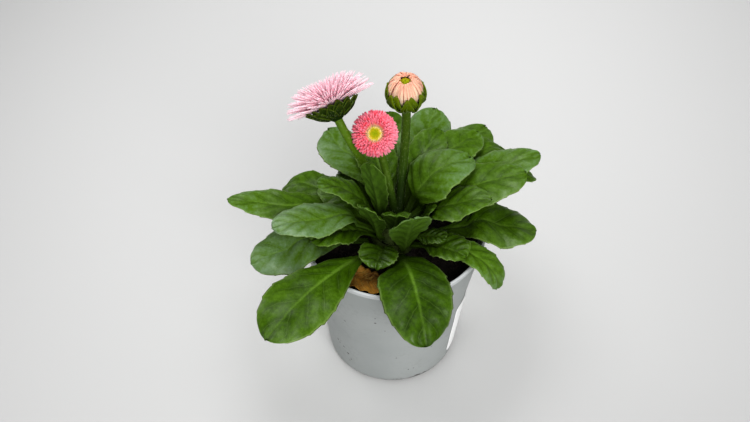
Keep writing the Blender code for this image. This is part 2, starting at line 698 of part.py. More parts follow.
def build_flower(name, shape):
    """Stem and bracts in one node, ray florets in another, and the middle in a third."""
    axis = Vector(shape["axis"]).normalized()
    head = Vector(shape["head"]) * MM
    place = Matrix.Translation(head) @ axis.to_track_quat("Z", "Y").to_matrix().to_4x4()
    draw = random.Random(shape["seed"])
    cup, depth = shape["cup"] * MM, shape["cup_depth"] * MM
    hole = shape["middle"] * MM

    stem_radius = shape["stem"] * MM
    bowl = [(0, 0), (cup, 0), (cup * 0.97, -0.25 * depth), (cup * 0.7, -0.7 * depth)]
    bowl += [(stem_radius * 1.15, -depth), (0, -depth)]
    green = [round_body(bowl)]
    for ring in shape["bracts"]:
        green += ring_of_blades(*ring_in_metres(ring), BRACT, draw, shape["spread"] / 2)
    for piece in green:
        piece.transform(place)
    fused(name + "_stem", [stem_body(shape)] + green, finishes["stem_green"])

    low, high = GAP, shape["core"] * MM
    core = [(hole + GAP, high), (cup * 0.62, high * 0.8), (cup * 0.86, high * 0.4)]
    core += [(cup * 0.86, low), (hole + GAP, low)]
    rays = [round_body(core)]
    for ring in shape["rays"]:
        outline = SHORT_FLORET if ring[3] * MM < SHORT_FLORET_LENGTH else FLORET
        rays += ring_of_blades(*ring_in_metres(ring), outline, draw, shape["spread"])
    for piece in rays:
        piece.transform(place)
    fused(name + "_rays", rays, finishes[shape["finish"]])

    build_middle(name, hole, high + shape["middle_proud"] * MM, place, draw)


def ring_in_metres(ring):
    count, root_radius, root_height, length, width, rise, first_turn = ring
    root = (root_radius * MM, root_height * MM)
    return count, first_turn, root, length * MM, width * MM, rise


def build_middle(name, radius, top, place, draw):
    """The disc florets, as a low dome with a bumpy top."""
    steps = 4
    shoulder = top - radius * 0.6
    angles = [math.pi / 2 * (1 - k / steps) for k in range(steps)]
    profile = [(radius * math.cos(a), shoulder + (top - shoulder) * math.sin(a)) for a in angles]
    profile[0] = (0, top)
    profile += [(radius, shoulder), (radius, GAP), (0, GAP)]
    mesh = round_body(profile, DISC_SIDES)
    for vert in mesh.verts:
        if vert.co.z > shoulder + 0.01 * MM:
            vert.co.z += draw.uniform(-1, 1) * DISC_BUMP
    mesh.transform(place)
    add_object(name + "_disc", mesh, finishes["disc_yellow"])


clear_scene()
plant = new_collection("potted_daisy")
helpers = new_collection("cutters", hidden=True)

finishes = {name: make_finish(name, *values) for name, values in FINISHES.items()}
build_pot(finishes["pot_grey"])
build_label(finishes["label_white"])
build_soil(finishes["soil_dark"])
build_crown(finishes["crown_green"])

ground = bare_ground()
build_dry_leaf(finishes["dry_brown"], ground)
for index, row in enumerate(LEAVES):
    one = Leaf(index, *row)
    lay_leaf(one, ground)
    build_leaf(one, finishes["leaf_green"])
for flower_name, flower in FLOWERS.items():
    build_flower(flower_name, flower)
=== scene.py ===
import math
import random
from types import SimpleNamespace

import bmesh
import bpy
import numpy as np
from mathutils import Matrix, Vector


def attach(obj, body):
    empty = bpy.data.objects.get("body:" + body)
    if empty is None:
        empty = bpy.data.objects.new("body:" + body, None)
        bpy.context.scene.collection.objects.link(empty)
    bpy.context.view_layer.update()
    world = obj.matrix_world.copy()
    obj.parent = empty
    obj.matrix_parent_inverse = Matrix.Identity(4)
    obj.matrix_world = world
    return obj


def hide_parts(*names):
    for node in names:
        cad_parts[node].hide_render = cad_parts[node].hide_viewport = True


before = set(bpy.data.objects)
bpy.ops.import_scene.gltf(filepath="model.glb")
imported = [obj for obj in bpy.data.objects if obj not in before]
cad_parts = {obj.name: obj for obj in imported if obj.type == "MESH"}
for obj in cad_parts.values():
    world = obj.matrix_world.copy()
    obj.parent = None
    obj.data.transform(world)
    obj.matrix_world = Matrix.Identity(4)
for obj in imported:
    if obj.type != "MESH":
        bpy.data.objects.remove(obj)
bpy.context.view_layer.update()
MM = 0.001

# The pot. A thin grey nursery pot, 9 cm across, blown in one piece from smooth semi-matt plastic,
# with a small lip, a bend half way up the wall, a base that stands on a low foot, and four holes.
# Fine dark specks of soil cling to it, and soil has dusted its foot.


class Wire:
    """A socket of a node tree. Arithmetic on it adds Math nodes, and node() adds any other."""

    def __init__(self, tree, socket=None):
        self.tree, self.socket = tree, socket

    def node(self, kind, sockets=None, out=0, **settings):
        """A node of any kind, with its settings made first, then values or links for its sockets."""
        made = self.tree.nodes.new(kind)
        for name, value in settings.items():
            if name == "stops":
                ramp = made.color_ramp.elements
                while len(ramp) < len(value):
                    ramp.new(0.5)
                for stop, (place, colour) in zip(ramp, value):
                    stop.position, stop.color = place, (*colour, 1)
            else:
                setattr(made, name, value)
        for name, value in (sockets or {}).items():
            for part in value if isinstance(value, list) else [value]:
                if isinstance(part, Wire):
                    self.tree.links.new(part.socket, made.inputs[name])
                else:
                    made.inputs[name].default_value = part
        return Wire(self.tree, made.outputs[out])

    def beside(self, name):
        """Another output of the same node."""
        return Wire(self.tree, self.socket.node.outputs[name])

    def math(self, operation, *values):
        return self.node("ShaderNodeMath", dict(enumerate(values)), operation=operation)

    def vector_math(self, operation, other, out="Vector"):
        return self.node("ShaderNodeVectorMath", {0: self, 1: other}, out, operation=operation)

    def __add__(self, other):
        return self.math("ADD", self, other)

    def __sub__(self, other):
        return self.math("SUBTRACT", self, other)

    def __rsub__(self, other):
        return self.math("SUBTRACT", other, self)

    def __mul__(self, other):
        return self.math("MULTIPLY", self, other)

    def __truediv__(self, other):
        return self.math("DIVIDE", self, other)

    def __pow__(self, other):
        return self.math("POWER", self, other)

    def __abs__(self):
        return self.math("ABSOLUTE", self)

    __radd__ = __add__
    __rmul__ = __mul__

    def sin(self):
        return self.math("SINE", self)

    def cos(self):
        return self.math("COSINE", self)

    def part(self):
        return self.math("FRACT", self)

    def point(self, x, y, z):
        return self.node("ShaderNodeCombineXYZ", {0: x, 1: y, 2: z})

    def axis(self, name):
        """The X, Y or Z of a vector."""
        return self.node("ShaderNodeSeparateXYZ", {0: self}, name)

    def smooth(self, low, high):
        """0 below low, 1 above high, and a smooth rise between them."""
        sockets = {"Value": self, "From Min": low, "From Max": high}
        return self.node("ShaderNodeMapRange", sockets, interpolation_type="SMOOTHSTEP")

    def blend(self, first, second):
        """The first colour where this is 0, and the second where it is 1."""
        first, second = (end if isinstance(end, Wire) else (*end, 1) for end in (first, second))
        return self.node("ShaderNodeMix", {0: self, 6: first, 7: second}, out=2, data_type="RGBA")

    def ramp(self, *stops):
        """Colours at places from 0 to 1."""
        return self.node("ShaderNodeValToRGB", {0: self}, stops=stops)

    def noise(self, scale, detail=3.0, vector=None):
        sockets = {"Scale": scale, "Detail": detail}
        if vector:
            sockets["Vector"] = vector
        return self.node("ShaderNodeTexNoise", sockets)


class Finish:
    """A material with its Principled shader, and a Wire to build its nodes from."""

    def __init__(self, name, roughness, specular):
        self.material = bpy.data.materials.new(name)
        self.material.use_nodes = True
        tree = self.material.node_tree
        self.shader = tree.nodes["Principled BSDF"]
        self.wire = Wire(tree)
        self.place = self.wire.node("ShaderNodeTexCoord", out="Object")
        self.set("Roughness", roughness)
        self.set("Specular IOR Level", specular)

    def set(self, name, value):
        socket = self.shader.inputs[name]
        if isinstance(value, Wire):
            self.wire.tree.links.new(value.socket, socket)
        else:
            socket.default_value = value

    def noise(self, scale, detail=3.0):
        return self.wire.noise(scale, detail, self.place)

    def spots(self, scale):
        """Distance from the nearest of many scattered points."""
        return self.wire.node("ShaderNodeTexVoronoi", {"Vector": self.place, "Scale": scale}, "Distance")

    def attribute(self, name):
        return self.wire.node("ShaderNodeAttribute", out="Fac", attribute_name=name)

    def bump(self, height, distance, strength=1.0):
        sockets = {"Height": height, "Distance": distance, "Strength": strength}
        self.set("Normal", self.wire.node("ShaderNodeBump", sockets))


def placed(name, data):
    """An object of the scene, at the origin."""
    obj = bpy.data.objects.new(name, data)
    bpy.context.scene.collection.objects.link(obj)
    return obj


def plain_mesh(obj, name):
    """The object's shape with its modifiers applied, as a plain object at the origin."""
    graph = bpy.context.evaluated_depsgraph_get()
    graph.update()
    data = bpy.data.meshes.new_from_object(obj.evaluated_get(graph), depsgraph=graph)
    data.transform(obj.matrix_world)
    data.name = name
    bpy.data.objects.remove(obj, do_unlink=True)
    return placed(name, data)


def mesh_object(name, points, faces, finish=None):
    data = bpy.data.meshes.new(name)
    data.from_pydata([tuple(p) for p in points], [], faces)
    if finish:
        data.materials.append(finish.material)
    return placed(name, data)


def turned(name, profile, sides, finish=None):
    """A turned piece, from a profile that runs from top to bottom, from axis to axis."""
    points = [(radius, 0, height) for radius, height in profile]
    obj = mesh_object(name, points, [], finish)
    obj.data.edges.add(len(points) - 1)
    for k in range(len(points) - 1):
        obj.data.edges[k].vertices = (k, k + 1)
    screw = obj.modifiers.new("Turn", "SCREW")
    screw.steps = screw.render_steps = sides
    screw.use_merge_vertices = True
    screw.merge_threshold = 0.00001
    made = plain_mesh(obj, name)
    mesh = bmesh.new()
    mesh.from_mesh(made.data)
    bmesh.ops.remove_doubles(mesh, verts=mesh.verts, dist=0.000002)
    bmesh.ops.recalc_face_normals(mesh, faces=mesh.faces)
    mesh.to_mesh(made.data)
    mesh.free()
    made.data.shade_smooth()
    return made


def rounded(corners, steps=5):
    """A profile whose corners, each with its own radius, are rounded."""
    line = []
    for k, (x, y, radius) in enumerate(corners):
        here = Vector((x, y))
        if not radius or k in (0, len(corners) - 1):
            line.append((x, y))
            continue
        before = (Vector(corners[k - 1][:2]) - here).normalized() * radius
        after = (Vector(corners[k + 1][:2]) - here).normalized() * radius
        for step in range(steps + 1):
            t = step / steps
            line.append(tuple(here + before * (1 - t) ** 2 + after * t**2))
    return line


def finished(obj, node, slot, finish=None):
    """Puts a piece in place of its CAD node, which it hides, in the root body, with its material if it is
    all of one. The slot is not used.
    """
    if finish:
        obj.data.materials.clear()
        obj.data.materials.append(finish.material)
    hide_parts(node)
    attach(obj, "root")


def round_point(radius, turn, height=0.0):
    """A point at a radius and a turn about the pot's axis."""
    return radius * math.cos(turn), radius * math.sin(turn), height


pot_height, pot_rim, pot_base, pot_wall = 84 * MM, 45 * MM, 33 * MM, 1.0 * MM
pot_bend_height, pot_bend = 49 * MM, 38.4 * MM
pot_floor, foot_height, lip_width, lip_depth = 2.2 * MM, 0.9 * MM, 0.9 * MM, 2.2 * MM
hole_count, hole_radius, hole_circle = 4, 3 * MM, 21 * MM
pot = turned("nursery_pot", rounded([
    (0, pot_floor, 0),
    (pot_base - 2 * MM, pot_floor, 0.8 * MM),
    (pot_bend - pot_wall, pot_bend_height, 2 * MM),
    (pot_rim - lip_width - pot_wall, pot_height - 1 * MM, 0.8 * MM),
    (pot_rim - 1.2 * MM, pot_height, 0.4 * MM),
    (pot_rim, pot_height, 0.5 * MM),
    (pot_rim, pot_height - lip_depth, 0.3 * MM),
    (pot_rim - lip_width, pot_height - 2.6 * MM, 0.4 * MM),
    (pot_bend + 0.35 * MM, pot_bend_height + 1.0 * MM, 0.8 * MM),
    (pot_bend, pot_bend_height - 0.6 * MM, 0.6 * MM),
    (pot_base + 0.3 * MM, 1.6 * MM, 1.2 * MM),
    (pot_base - 1.2 * MM, 0, 0.5 * MM),
    (pot_base - 3.4 * MM, 0, 0.4 * MM),
    (pot_base - 4.2 * MM, foot_height, 0.4 * MM),
    (0, foot_height, 0),
]), 112)
for hole in range(hole_count):
    mesh = bmesh.new()
    bmesh.ops.create_cone(
        mesh, cap_ends=True, segments=24, radius1=hole_radius, radius2=hole_radius, depth=10 * MM,
    )
    around = 2 * math.pi / hole_count * (hole + 0.5)
    mesh.transform(Matrix.Translation(round_point(hole_circle, around)))
    punch = mesh_object("hole_punch", [], [])
    mesh.to_mesh(punch.data)
    mesh.free()
    cut = pot.modifiers.new("Hole", "BOOLEAN")
    cut.operation, cut.object = "DIFFERENCE", punch
    pot = plain_mesh(pot, "nursery_pot")
    bpy.data.objects.remove(punch, do_unlink=True)
pot.data.shade_smooth()

grey = Finish("grey_plastic", 0.5, 0.4)
cloud = grey.noise(35, 4)
height = grey.place.axis("Z")
# The lip's band is painted lighter than the rest of the wall, as a painted highlight along the rim.
painted_rim_highlight = height.smooth(pot_height - lip_depth - 0.5 * MM, pot_height - lip_depth)
foot = 1 - height.smooth(0.5 * MM, 5 * MM)
dust_top = (grey.noise(90, 5) - 0.47) * 9 * MM
dust = (1 - ((height - dust_top) / MM).smooth(1.2, 2.2)) * grey.noise(700, 3).smooth(0.35, 0.5)
speck_size = (grey.noise(70, 1).smooth(0.5, 0.72) + foot * 0.6) * 0.2
specks = 1 - (grey.spots(220) / (speck_size + 0.001)).smooth(0.7, 1.0)
scuffs = (grey.noise(420, 2) * grey.noise(60, 2)).smooth(0.3, 0.42) * 0.35
body = cloud.smooth(0.3, 0.7).blend((0.315, 0.333, 0.328), (0.36, 0.377, 0.371))
# Painted highlight: the lip's band is lightened.
body = (painted_rim_highlight * 0.6).blend(body, (0.60, 0.615, 0.625))
# The wall is painted darker towards its bottom, and where it is scuffed.
body = (foot * 0.5 + scuffs * 0.4).blend(body, (0.27, 0.275, 0.265))
body = (dust * 0.85).blend(body, (0.05, 0.047, 0.04))
grey.set("Base Color", (specks * 0.7).blend(body, (0.035, 0.03, 0.025)))
grey.set("Roughness", 0.42 + cloud * 0.16 + scuffs * 0.3)
grey.bump(cloud * 0.25 + specks * 0.6 + grey.noise(900, 1) * 0.12, 0.12 * MM)
finished(pot, "pot", "pot_grey", grey)

# The sticker. A blank white paper label with rounded corners, glued round the lower right of the
# wall. Its edges stand up a hair from the plastic, and the sheet has faint cockles.
label_from, label_to = math.radians(326), math.radians(408)
label_low, label_high, label_corner = 7 * MM, 46 * MM, 3 * MM
label_thickness, label_gap = 0.18 * MM, 0.3 * MM
label_columns, label_rows = 48, 28


def label_point(across, up):
    """A point of the sheet, whose rows are shorter near its rounded corners."""
    height = label_low + (label_high - label_low) * up
    over = max(0, label_corner - min(up, 1 - up) * (label_high - label_low))
    pulled = label_corner - math.sqrt(label_corner**2 - over**2)
    turn = (label_from + label_to) / 2 + (across - 0.5) * (label_to - label_from - 2 * pulled / pot_bend)
    cockle = 0.06 * MM * math.sin(23 * across + 5 * up) * math.sin(9 * up)
    wall = pot_base + (pot_bend - pot_base) * height / pot_bend_height
    return round_point(wall + label_gap + cockle, turn, height)


label_points = [
    label_point(column / label_columns, (1 - math.cos(math.pi * row / label_rows)) / 2)
    for row in range(label_rows + 1)
    for column in range(label_columns + 1)
]
label_faces = []
for row in range(label_rows):
    for column in range(label_columns):
        here = row * (label_columns + 1) + column
        above = here + label_columns + 1
        label_faces.append((here, here + 1, above + 1, above))
label = mesh_object("sticker", label_points, label_faces)
sheet = label.modifiers.new("Paper", "SOLIDIFY")
sheet.thickness, sheet.offset = label_thickness, 0
label = plain_mesh(label, "sticker")
label.data.shade_smooth()
paper = Finish("white_paper", 0.45, 0.4)
fibre = paper.noise(500, 4)
pulp = (fibre + paper.noise(60, 2)) * 0.5
paper.set("Base Color", pulp.blend((0.88, 0.88, 0.87), (0.97, 0.97, 0.97)))
paper.set("Roughness", 0.38 + fibre * 0.2)
paper.bump(fibre, 0.03 * MM)
finished(label, "label", "label_white", paper)

# The soil. Dark peat-based potting soil that fills the pot to a centimetre below its rim, with
# loose crumbs strewn over its top, some of them drawn out long.
soil_level = 74 * MM
soil_side = pot_rim - 4.0 * MM


def new_recipe(name, **inputs):
    """A Geometry Nodes tree with named inputs, and a Wire for each of them."""
    tree = bpy.data.node_groups.new(name, "GeometryNodeTree")
    face = tree.interface
    face.new_socket("Geometry", in_out="INPUT", socket_type="NodeSocketGeometry")
    face.new_socket("Geometry", in_out="OUTPUT", socket_type="NodeSocketGeometry")
    kinds = {float: "Float", int: "Int", tuple: "Vector", type(None): "Material"}
    for title, value in inputs.items():
        made = face.new_socket(title, in_out="INPUT", socket_type="NodeSocket" + kinds[type(value)])
        if value is not None:
            made.default_value = value
    source = tree.nodes.new("NodeGroupInput")
    wires = {out.name: Wire(tree, out) for out in source.outputs if out.name}
    return tree, SimpleNamespace(**wires)


def close_recipe(shape, finish=None):
    """Ends a tree: copies made real, shaded smooth, with their material."""
    shape = shape.node("GeometryNodeRealizeInstances", {0: shape})
    shape = shape.node("GeometryNodeSetShadeSmooth", {0: shape})
    if finish:
        shape = shape.node("GeometryNodeSetMaterial", {0: shape, "Material": finish})
    last = shape.tree.nodes.new("NodeGroupOutput")
    shape.tree.links.new(shape.socket, last.inputs[0])


def cooked(name, tree, start=None, **values):
    """A plain mesh object made by a tree from a starting object and values for its inputs."""
    obj = start or mesh_object(name, [], [])
    nodes = obj.modifiers.new("Recipe", "NODES")
    nodes.node_group = tree
    for item in tree.interface.items_tree:
        if item.in_out == "INPUT" and item.name in values:
            nodes[item.identifier] = values[item.name]
    return plain_mesh(obj, name)


def joined(name, pieces):
    """Several mesh objects as one, with their own materials kept."""
    with bpy.context.temp_override(active_object=pieces[0], selected_editable_objects=pieces):
        bpy.ops.object.join()
    pieces[0].name = name
    return pieces[0]


peat = Finish("damp_peat", 0.9, 0.25)
clod = peat.noise(260, 5)
peat.set("Base Color", clod.ramp(
    (0.3, (0.004, 0.0032, 0.0026)), (0.6, (0.016, 0.011, 0.008)), (0.8, (0.05, 0.03, 0.018)),
))
peat.bump(clod + peat.noise(900, 2) * 0.4, 0.8 * MM)

lumpy_rings, mound_sides = 34, 120
lump_height, grain_height = 0.35 * MM, 0.3 * MM
lumpy_level = soil_level - 0.2 * MM
mound_rings = [(soil_side * ring / lumpy_rings, lumpy_level) for ring in range(1, lumpy_rings + 1)]
mound_rings += [(pot_bend - 1.6 * MM, pot_bend_height), (pot_base - 2.4 * MM, pot_floor + 0.4 * MM)]
mound_points, mound_faces = [(0, 0, soil_level)], []
draw = random.Random(7)
for ring, (radius, level) in enumerate(mound_rings):
    outer = 1 + ring * mound_sides
    inner = outer - mound_sides
    for side in range(mound_sides):
        x, y, z = round_point(radius, 2 * math.pi * side / mound_sides, level)
        if ring < lumpy_rings:
            lumps = math.sin(x * 520 + 1) * math.sin(y * 470 + 2) + 0.7 * math.sin(x * 910 - y * 700)
            grain = draw.uniform(-1, 1) * (ring < lumpy_rings - 1)
            z = z + lump_height * lumps + grain_height * grain
        mound_points.append((x, y, z))
        beyond = (side + 1) % mound_sides
        if ring:
            mound_faces.append((inner + side, outer + side, outer + beyond, inner + beyond))
        else:
            mound_faces.append((0, outer + side, outer + beyond))
mound_faces.append(tuple(range(len(mound_points) - 1, len(mound_points) - 1 - mound_sides, -1)))
mound = mesh_object("potting_soil", mound_points, mound_faces, peat)
mound.data.shade_smooth()

strew, into = new_recipe("strewn_crumbs", Count=1500, Reach=soil_side - 1.5 * MM, Level=soil_level,
                         Size=0.9 * MM, Seed=3, Material=None)
wire = into.Count


def chance(wire, low, high, seed):
    """A different number for each point or copy."""
    return wire.node("FunctionNodeRandomValue", {2: low, 3: high, "Seed": seed}, out=1)


def copies(shape, spots, spin, size):
    """A copy of the shape on each spot, with its turn and its size."""
    sockets = {"Points": spots, "Instance": shape, "Rotation": spin, "Scale": size}
    return shape.node("GeometryNodeInstanceOnPoints", sockets)


reach = chance(wire, 0.06, 1.0, into.Seed) ** 0.5 * into.Reach
around = chance(wire, 0.0, 2 * math.pi, into.Seed + 1)
level = into.Level + chance(wire, -0.3 * MM, 0.5 * MM, into.Seed + 2)
spot = wire.point(reach * around.cos(), reach * around.sin(), level)
spots = wire.node("GeometryNodePoints", {"Count": into.Count, "Position": spot})
crumb = wire.node("GeometryNodeMeshIcoSphere", {"Radius": 1.0, "Subdivisions": 2})
bumpy = wire.node("ShaderNodeTexNoise", {"Scale": 1.3}, "Color").vector_math("SUBTRACT", (0.5, 0.5, 0.5))
crumb = wire.node("GeometryNodeSetPosition", {0: crumb, "Offset": bumpy})
spin = wire.point(*(chance(wire, 0.0, 6.3, into.Seed + (3 + k)) for k in range(3)))
small = chance(wire, 0.25, 1.0, into.Seed + 7) ** 2.2 * into.Size
stretch = wire.point(small * chance(wire, 0.8, 2.4, into.Seed + 8), small, small * 0.8)
close_recipe(copies(crumb, spots, spin, stretch), into.Material)
soil = joined("potting_soil", [mound, cooked("crumbs", strew, Material=peat.material)])
finished(soil, "soil", "soil_dark")

# The crown. The short, dark rootstock at the soil's top that every leaf and flower stalk grows
# from. It is lumpy with the scars and dull green scales of old leaf bases, and it is painted far
# darker than its own colour, as painted shade deep under the leaves.
crown_at = np.array((0, 0, soil_level))
crown_radius = 12 * MM
seat_gap = 0.3 * MM

stump = Finish("old_leaf_bases", 0.75, 0.15)
scales = stump.spots(230)
husks = (scales + stump.noise(120)).smooth(0.4, 1.2)
# Both colours are near black: painted shade.
stump.set("Base Color", husks.blend((0.008, 0.020, 0.002), (0.040, 0.060, 0.010)))
stump.bump(scales + stump.noise(600, 2) * 0.5, 0.8 * MM)
crown = turned("crown_stump", rounded([
    (0, soil_level + crown_radius - 0.5 * MM, 0),
    (7.2 * MM, soil_level + 9.6 * MM, 4 * MM),
    (10.6 * MM, soil_level + 5 * MM, 3 * MM),
    (crown_radius - 0.8 * MM, soil_level + 0.2 * MM, 0.5 * MM),
    (5.8 * MM, soil_level - 0.5 * MM, 2 * MM),
    (4 * MM, soil_level - 9 * MM, 1 * MM),
    (0, soil_level - 9 * MM, 0),
], 8), 72)
for vert in crown.data.vertices:
    turn = math.atan2(vert.co.y, vert.co.x)
    if vert.co.z > soil_level:
        scar = math.sin(turn * 9 + 900 * vert.co.z) * math.sin(1500 * vert.co.z)
        vert.co *= 1 - 0.003 * (1 - scar)
finished(crown, "crown", "crown_green", stump)

# The withered leaf. One old leaf, dried orange-brown and crumpled, lies on the soil along the
# wall at the front left, curled up at its edges.
leaf_sheet, into = new_recipe(
    "leaf_relief_and_thickness", Thickness=0.6 * MM, Petiole=1.7 * MM, Rib=0.35 * MM, Quilting=0.3 * MM,
    Veins=7.0, Slant=1.5, Crumple=0.5 * MM, Material=None,
)
wire = into.Geometry


def stored(wire, name):
    """A number that a mesh carries on its points."""
    return wire.node("GeometryNodeInputNamedAttribute", {"Name": name})


def store(shape, name, value, domain="POINT"):
    sockets = {0: shape, "Name": name, "Value": value}
    return shape.node("GeometryNodeStoreNamedAttribute", sockets, domain=domain)


def side_veins(along, across, count, slant):
    """The number of side veins passed on the way along a leaf, whose two sides are out of step."""
    return along * count - abs(across) * slant + across.math("GREATER_THAN", across, 0) * 0.45


along, across, half, blade = (stored(wire, name) for name in ("along", "across", "half", "blade"))
away = abs(across)
between = abs((side_veins(along, across, into.Veins, into.Slant) * math.pi).sin()) ** 2
quilt = between * into.Quilting * blade * away.smooth(0.03, 0.3) * (1 - away.smooth(0.75, 1))
off_rib = away * half
ends = along.smooth(0, 0.015) * (1 - along.smooth(0.985, 1))
groove = into.Rib * (1 - off_rib.smooth(0.1 * MM, 1.5 * MM)) * ends
sheet = into.Thickness + (into.Petiole - into.Thickness) * (1 - blade)
sheet = sheet * ends * (1 - away**4) ** 0.5
keel = (1 - off_rib.smooth(0, 1.6 * MM)) * into.Rib * 1.6 * (1 - along * 0.8) * ends
ripples = (wire.noise(70, 2) - 0.5) * into.Crumple * 2
ripples = ripples + (wire.noise(260, 2) - 0.5) * into.Crumple * 0.4
normal = wire.node("GeometryNodeInputNormal")


def pushed(shape, distance):
    """The surface moved along its normals."""
    offset = shape.node("ShaderNodeVectorMath", {0: normal, "Scale": distance}, operation="SCALE")
    return shape.node("GeometryNodeSetPosition", {0: shape, "Offset": offset})


top = store(pushed(into.Geometry, quilt + ripples + sheet * 0.5 - groove), "under", 0.0)
under = store(pushed(into.Geometry, quilt + ripples - sheet * 0.5 - keel), "under", 1.0)
under = wire.node("GeometryNodeFlipFaces", {0: under})
both = wire.node("GeometryNodeJoinGeometry", {0: [under, top]})
both = wire.node("GeometryNodeMergeByDistance", {0: both, "Distance": 0.008 * MM})
close_recipe(both, into.Material)


def sheet_grid(name, grid, **numbers):
    """A mesh through a grid of points, which carries numbers on its points."""
    rows, columns = grid.shape[:2]
    faces = []
    for row in range(rows - 1):
        for column in range(columns - 1):
            here = row * columns + column
            faces.append((here, here + columns, here + columns + 1, here + 1))
    obj = mesh_object(name, grid.reshape(-1, 3), faces)
    for title, values in numbers.items():
        values = np.broadcast_to(values, (rows, columns)).astype(np.float32).ravel()
        obj.data.attributes.new(title, "FLOAT", "POINT").data.foreach_set("value", values)
    uv = obj.data.uv_layers.new(name="leaf_map").data
    for loop in obj.data.loops:
        row, column = divmod(loop.vertex_index, columns)
        uv[loop.index].uv = (column / (columns - 1), row / (rows - 1))
    return obj


withered = Finish("withered_leaf", 0.6, 0.15)
patches = withered.noise(110, 4)
veined = abs((withered.attribute("along") * 9 - abs(withered.attribute("across")) * 2).part() - 0.5) * 2
dry = patches.smooth(0.3, 0.7).blend((0.15, 0.058, 0.010), (0.48, 0.24, 0.036))
dry = (withered.noise(420, 3).smooth(0.5, 0.75) * 0.6).blend(dry, (0.60, 0.38, 0.09))
withered.set("Base Color", (veined.smooth(0.8, 1) * 0.5).blend(dry, (0.62, 0.42, 0.12)))
withered.bump(veined.smooth(0.7, 1) * 0.6 + withered.noise(700, 3), 0.35 * MM)
dry_at, dry_span, dry_radius, dry_width = 243, 52, 31.5 * MM, 15 * MM
dry_curl, dry_tilt, dry_ripple, cad_leaf = 1.6 * MM, 0.9 * MM, 0.5 * MM, 0.7 * MM
dry_rest = soil_level + 0.6 * MM + seat_gap + cad_leaf / 2 + dry_ripple
dry_along, dry_across = np.linspace(-1, 1, 61)[:, None], np.linspace(-1, 1, 17)[None, :]
dry_turn = np.radians(dry_at + dry_span / 2 * dry_along)
dry_half = dry_width / 2 * np.sqrt(np.maximum(0.0004, 1 - np.abs(dry_along) ** 2.4))
dry_half = dry_half * (1 + 0.06 * np.sin(19 * dry_along) * np.sign(dry_across))
dry_out = dry_radius + dry_half * dry_across
dry_height = dry_rest + dry_curl * dry_across**2 + dry_tilt * dry_across
dry_waves = np.sin(5 * dry_along + 2 * dry_across) + 0.7 * np.sin(17 * dry_along - 4 * dry_across)
dry_height = dry_height + dry_ripple * dry_waves
dry_grid = np.broadcast_arrays(dry_out * np.cos(dry_turn), dry_out * np.sin(dry_turn), dry_height)
dry_leaf = sheet_grid("withered_leaf", np.stack(dry_grid, axis=2), along=(dry_along + 1) / 2,
                      across=dry_across, half=dry_half, blade=1)
dry_leaf = cooked("withered_leaf", leaf_sheet, dry_leaf, Thickness=0.35 * MM, Crumple=0.9 * MM,
                  Quilting=0.35 * MM, Material=withered.material)
finished(dry_leaf, "dry_leaf", "dry_brown", withered)

# The leaves. A rosette of thirty-five spoon-shaped leaves, each a flat stalk that widens into a
# blade with shallow teeth, a pale sunken midrib and faint quilting between its side veins. They
# lie from the soil up, each just far enough up from the crown to clear what lies under it.

